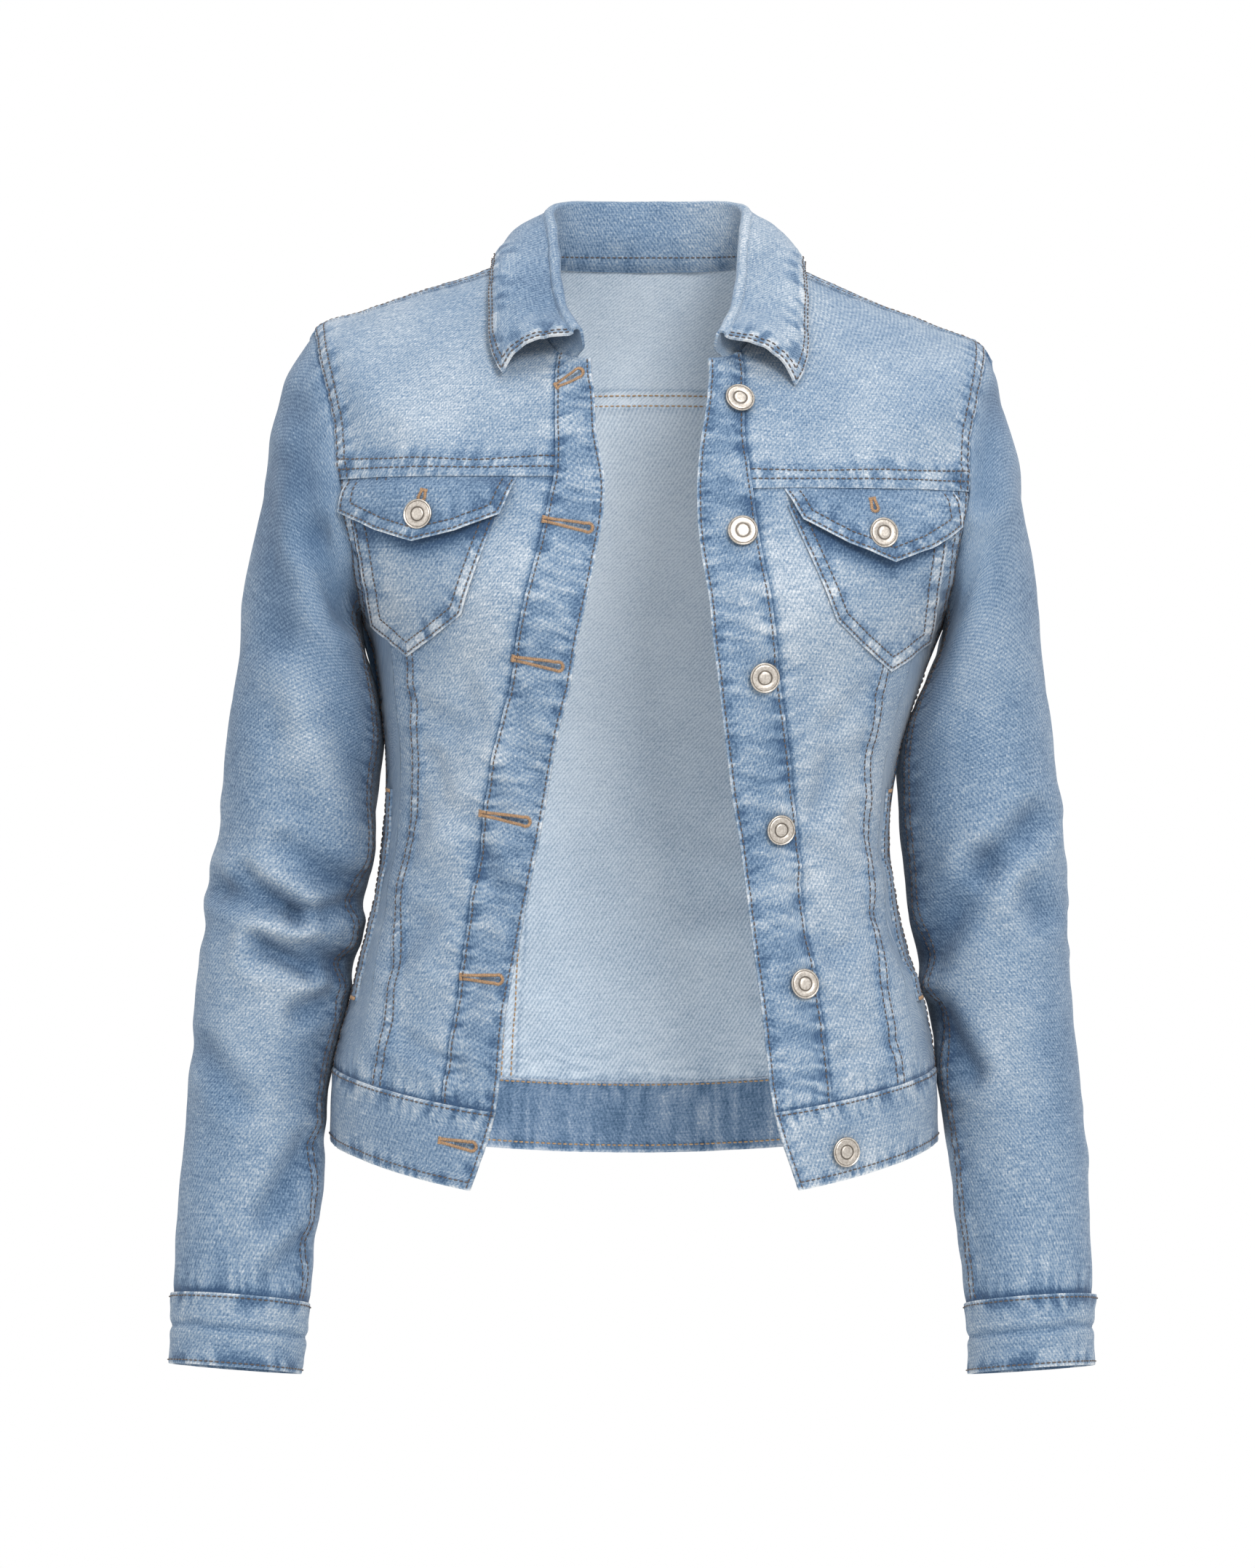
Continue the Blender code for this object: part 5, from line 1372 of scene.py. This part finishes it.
def collar_lines(across):
    """Points of the collar's face at shares across it: up the neck side of the stand, over, and down the leaf."""
    side = np.where(across < 0.5, -1.0, 1.0)
    station = (1 - np.abs(2 * across - 1)) * (len(COLLAR) - 1)
    values = {name: column(COLLAR, COLLAR_COLUMNS, name, station) for name in COLLAR_COLUMNS}
    angle = side * values["foot_angle"]
    neckline, normal = smooth_torso(angle, 0 * angle)
    rise = unit(neckline - bare_torso(angle, 0.3))
    foot = neckline - rise * 4 - normal * 3.0
    knee = neckline + rise * COLLAR_KNEE - normal * 1.4
    tilt = side * COLLAR_TIP_TILT * np.clip(1 - station / 3, 0, 1)
    fold = np.stack([side * values["fold_x"], values["fold_y"], values["fold_z"] + 0.3 * tilt], -1)
    at_edge, edge_normal = smooth_torso(side * values["leaf_angle"], values["leaf_ring"])
    edge = at_edge + edge_normal * values["leaf_lift"][:, None]
    edge[..., 2] += tilt
    outward = unit((edge - foot) * (1, 1, 0))
    bow = (outward + (0, 0, 0.9)) * COLLAR_BOW
    drop = np.array((0.0, 0.0, -COLLAR_FOLD))
    stand_top = fold - outward * COLLAR_FOLD * 0.9 + drop
    leaf_top = fold + outward * COLLAR_FOLD * 1.3 + drop
    stand_middle = knee + (stand_top - knee) / 2 - (outward + (0, 0, 0.8)) * COLLAR_STAND_BOW
    over_fold = fold + outward * COLLAR_FOLD * 0.8 + 0.35 * drop
    under_fold = stand_top + (fold - stand_top) * (0.25, 0.25, 0.7)
    down_leaf = [leaf_top + (edge - leaf_top) * share / 3 + bow for share in (1, 2)]
    return np.stack([foot, knee, stand_middle, stand_top, under_fold, fold, over_fold, leaf_top, *down_leaf, edge])


dense, places = np.linspace(0, 1, 900), np.linspace(0, 10, 900)
edge_run = path_of(curve(collar_lines(dense), 9.99))[1]
across = np.interp(paced(edge_run[-1], 1.35) * edge_run[-1], edge_run, dense)
profile = curve(collar_lines(np.array([0.02, 0.25, 0.5])), places)
profile_run = np.concatenate([[0], np.cumsum(np.linalg.norm(np.diff(profile, axis=0), axis=-1).max(1))])
place = np.interp(paced(profile_run[-1], 1.45) * profile_run[-1], profile_run, places)
base = curve(collar_lines(across), place)
normals = unit(np.cross(np.gradient(base, axis=0), np.gradient(base, axis=1)))
leaf = place > 7.2
normals *= np.sign((normals[leaf] * (base[leaf] * (1, 1, 0))).sum())
border = np.concatenate([base[place > 6.5][:, 0], base[-1], base[place > 6.5][::-1, -1]])
distance, along = nearest(path_of(border), base)
more, rubbed_and_shaded = seam_relief(distance, along, "over", COLLAR_FELL, 400, pitch=5.4)
on_leaf = smoothstep((place - 6.0) / 1.2)[:, None]
points = base + normals * (crumple(base, 41, 26, 0.6) + more * on_leaf)[..., None]
cloth_map = np.stack(np.meshgrid(edge_run[-1] * across, np.interp(place, places, profile_run)), -1)
stand_run = cloth_map[..., 1] - np.interp(0.95, places, profile_run)
ropes = noise(cloth_map[..., 0] / 5.5, stand_run / 20, 47)
wear = 0.43 + rubbed_and_shaded * on_leaf + 0.05 * noise(base[..., 0] / 24, base[..., 2] / 20, 43)
wear = wear + 0.12 * smoothstep(base[..., 0] / 40)
wear = wear + 0.16 * hump((place - 5.2) / 0.7)[:, None] - 0.02 * (1 - on_leaf)
wear = wear + 0.13 * ropes * (1 - on_leaf) * hump(stand_run / 9)
collar = wall("collar_cloth", points, normals, COLLAR_CLOTH, wear, cloth_map, (OUTSIDE, OUTSIDE))
sheet_of_cloth(collar, "collar")

collar_rows = []
to_edge = cloth_map[:, 0, 1] - profile_run[-1]
top_row, stand_row = np.interp((6.8, 1.15), place, np.arange(len(place)))
for inset in COLLAR_FELL[1]:
    row = np.interp(-inset, to_edge, np.arange(len(place)))
    ends = inset / edge_run[-1]
    columns = np.interp(np.linspace(ends, 1 - ends, 1600), across, np.arange(len(across)))
    collar_rows.append(traced(points, normals, row, columns, COLLAR_ROW_LIFT))
    for at in (columns[0], columns[-1]):
        collar_rows.append(traced(points, normals, np.linspace(top_row, row, 200), at, COLLAR_ROW_LIFT))
collar_rows.append(traced(points, normals, stand_row, np.linspace(2, len(across) - 3, 1200), 0.2))
sewn("collar_topstitching", collar_rows, "taupe_thread")

# Buttons
# Shank buttons of brushed champagne nickel, 17 mm across, with a raised middle and a finely knurled ring. Five close
# the placket, one the waistband, one each flap and one each cuff.

BUTTON_PROFILE = (
    (0.0, 3.15), (1.6, 3.2), (3.0, 3.2), (3.4, 3.05), (3.6, 2.7), (3.9, 2.6), (4.2, 2.7), (4.6, 2.95), (6.6, 2.85),
    (7.2, 2.8), (7.4, 2.55), (7.6, 2.75), (8.1, 3.0), (8.45, 2.8), (8.65, 2.35), (8.6, 1.9), (8.2, 1.6), (4.7, 1.5),
    (4.5, 0.0), (0.0, 0.0),
)
KNURLED, KNURL_DEPTH = range(7, 10), 0.07
# Rings of the profile darkened by painted shade: the grooves, the underside of the rim and the back.
SHADED_RINGS = {4: 0.8, 5: 1.0, 6: 0.8, 10: 1.0, 14: 0.5, 15: 0.9, 16: 1.0, 17: 1.0, 18: 1.0}
BUTTON_STEPS = 96


def brushed_nickel():
    """Nickel with a warm champagne tint, brushed, so that its highlights are soft, with shade painted dark into its
    grooves and under its rim.
    """
    made, tree, shader = new_material("brushed_champagne_nickel", Metallic=1.0)
    body = add_node(tree, "ShaderNodeTexCoord").outputs["Object"]
    grain = add_node(tree, "ShaderNodeTexNoise", {"Scale": 900.0, "Detail": 3.0}, Vector=body)
    stops = ((linear("#a9a198"), 0.3), (linear("#cfc8bf"), 0.7))
    tint = add_node(tree, "ShaderNodeValToRGB", {"stops": stops}, in0=grain)
    tarnish = add_node(tree, "ShaderNodeAttribute", {"attribute_name": "tarnish"}).outputs["Fac"]
    # Painted shade mixed in, darkest in the grooves and under the rim.
    shaded_tint = add_node(tree, "ShaderNodeMix", {"data_type": "RGBA", 7: linear("#5c554e")}, in0=tarnish, in6=tint)
    tree.links.new(shaded_tint.outputs[2], shader.inputs["Base Color"])
    rough = add_node(tree, "ShaderNodeMapRange", {"To Min": 0.3, "To Max": 0.5}, Value=grain)
    tree.links.new(rough.outputs["Result"], shader.inputs["Roughness"])
    return made


NICKEL = brushed_nickel()


def button(name, seat, towards):
    """One button, turned from its profile, seated on the cloth and facing outwards."""
    turns = np.linspace(0, 2 * np.pi, BUTTON_STEPS, endpoint=False)
    circles = []
    for place, (radius, height) in enumerate(BUTTON_PROFILE[1:-1], 1):
        knurl = KNURL_DEPTH * (-1.0) ** np.arange(BUTTON_STEPS) if place in KNURLED else 0.0
        circles.append(np.stack([radius * np.cos(turns), radius * np.sin(turns), height + knurl + 0 * turns], -1))
    points = np.concatenate([[(0, 0, BUTTON_PROFILE[0][1])], *circles, [(0, 0, 0)]]) * MM
    last = len(points) - 1
    ring = np.arange(1, last).reshape(len(circles), -1)
    after = np.roll(ring, -1, axis=1)
    faces = [[0, *pair] for pair in zip(ring[0].tolist(), after[0].tolist())]
    faces += np.stack([ring[:-1], ring[1:], after[1:], after[:-1]], -1).reshape(-1, 4).tolist()
    faces += [[last, *pair] for pair in zip(after[-1].tolist(), ring[-1].tolist())]
    turn = Vector(towards).normalized().to_track_quat("Z", "Y").to_matrix()
    mesh = bpy.data.meshes.new(name + "_metal")
    mesh.from_pydata((points @ np.array(turn).T + np.array(seat) * MM).tolist(), [], faces)
    mesh.materials.append(NICKEL)
    # How much painted shade each ring takes.
    ring_shade = [0.0] + [SHADED_RINGS.get(place, 0.0) for place in range(1, len(circles) + 1) for _ in turns] + [1.0]
    mesh.attributes.new("tarnish", "FLOAT", "POINT").data.foreach_set("value", ring_shade)
    mesh.shade_smooth()
    mesh.set_sharp_from_angle(angle=np.radians(50))
    made = placed(name + "_metal", mesh)
    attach(made, "root")
    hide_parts(name)


def front_seat(x, z, lift):
    """Where a button sits on the front and the way that it faces."""
    angle, ring = place_on_front(x, z)
    points, normals = smooth_torso(angle[None], ring[None])
    return points[0] + normals[0] * lift, normals[0]


PLACKET_BUTTONS = ((51.5, -94.5), (52.8, -171), (65.0, -254), (73.8, -340), (87.4, -428))
for number, (x, z) in enumerate(PLACKET_BUTTONS, 1):
    button(f"placket_button_{number}", *front_seat(x, z, 1.2))
button("waistband_button", *front_seat(111.0, -523.5, 1.1))
for side, (x, z) in {"right": (-129.1, -161.2), "left": (131.1, -171.9)}.items():
    button(f"flap_button_{side}", *front_seat(x, z, 6.4))
    turn = np.array([292.0])
    seat = section_ring(CUFF, side, turn, np.array([1.0]))
    middle = (seat + section_ring(CUFF, side, turn + 180, np.array([1.0]))) / 2
    button(f"cuff_button_{side}", (seat + unit(seat - middle) * 4.2)[0], unit(seat - middle)[0])

# Buttonholes and bar tacks
# Keyhole buttonholes are worked in amber thread on the wearer's right: a dense row round a slit that opens into an eye
# by the edge, and a bar tack at the other end. Each row gives the bar's x and z, then the eye's.

BUTTONHOLES = {
    "placket_right": (
        (-52.7, -87.0, -37.4, -78.1), (-59.8, -164.1, -31.9, -169.2), (-76.6, -242.8, -48.7, -248.3),
        (-95.5, -330.6, -67.3, -335.9), (-107.0, -423.8, -82.4, -425.3),
    ),
    "waistband": ((-118.7, -516.6, -97.8, -520.0),),
}
FLAP_BUTTONHOLES = {"right": (-127.1, -147.2, -128.7, -153.4), "left": (126.2, -152.2, 127.8, -159.7)}
BAR_HALF, EYE_SIZE, FLAP_EYE_SIZE = 2.2, 2.7, 1.9
HOLE_LIFT = 0.25
hole_rows, slit_places = [], []
for owner, holes in [*BUTTONHOLES.items(), *((f"flap_{side}", (hole,)) for side, hole in FLAP_BUTTONHOLES.items())]:
    for hole in holes:
        start, end = np.array(hole[:2]), np.array(hole[2:])
        length = np.linalg.norm(end - start)
        way = (end - start) / length
        square = np.array([-way[1], way[0]])
        eye_size = FLAP_EYE_SIZE if owner.startswith("flap") else EYE_SIZE
        turns = np.radians(np.linspace(125, -125, 40))[:, None]
        straight = np.linspace(0, length - 1.57 * eye_size, 40)[:, None]
        wide = 1.0 + (0.82 * eye_size - 1.0) * smoothstep(straight / straight[-1])
        eye = end + eye_size * (way * (np.cos(turns) - 1) + square * np.sin(turns))
        there, back = start + way * straight + square * wide, (start + way * straight - square * wide)[::-1]
        bar = start + square * np.linspace(-BAR_HALF, BAR_HALF, 12)[:, None]
        slit = start + way * np.linspace(0.4 * length, length - 1.0, 30)[:, None]
        for line, rows in ((np.concatenate([there, eye, back]), hole_rows), (bar, tack_rows), (slit, slit_places)):
            if owner.startswith("flap"):
                points, normals, _ = patch_skin(owner[5:], "pocket_flap", line[:, 0], line[:, 1])
            else:
                points, normals, _ = body_skin(owner, *place_on_front(line[:, 0], line[:, 1]))
            rows.append((points + HOLE_LIFT * normals, normals))
sewn("buttonhole_stitching", hole_rows, "amber_thread", length=2.5, pitch=0.7, thickness=0.8, across=True)
sewn("bar_tacks", tack_rows, "amber_thread", length=2.6, pitch=0.6, thickness=0.7, across=True)
# Dark strips of painted shadow lie in the slits, where the cut would show dark.
sewn("buttonhole_slit_shadows", slit_places, "amber_thread", length=2.6, pitch=0.5, thickness=0.2, across=True)
slit_shadow_finishes = bpy.data.objects["buttonhole_slit_shadows"].data.materials
slit_shadow_finishes.clear()
slit_shadow_finishes.append(new_material("cut_cloth_shadow", Base_Color=linear("#30343c"), Roughness=0.95)[0])
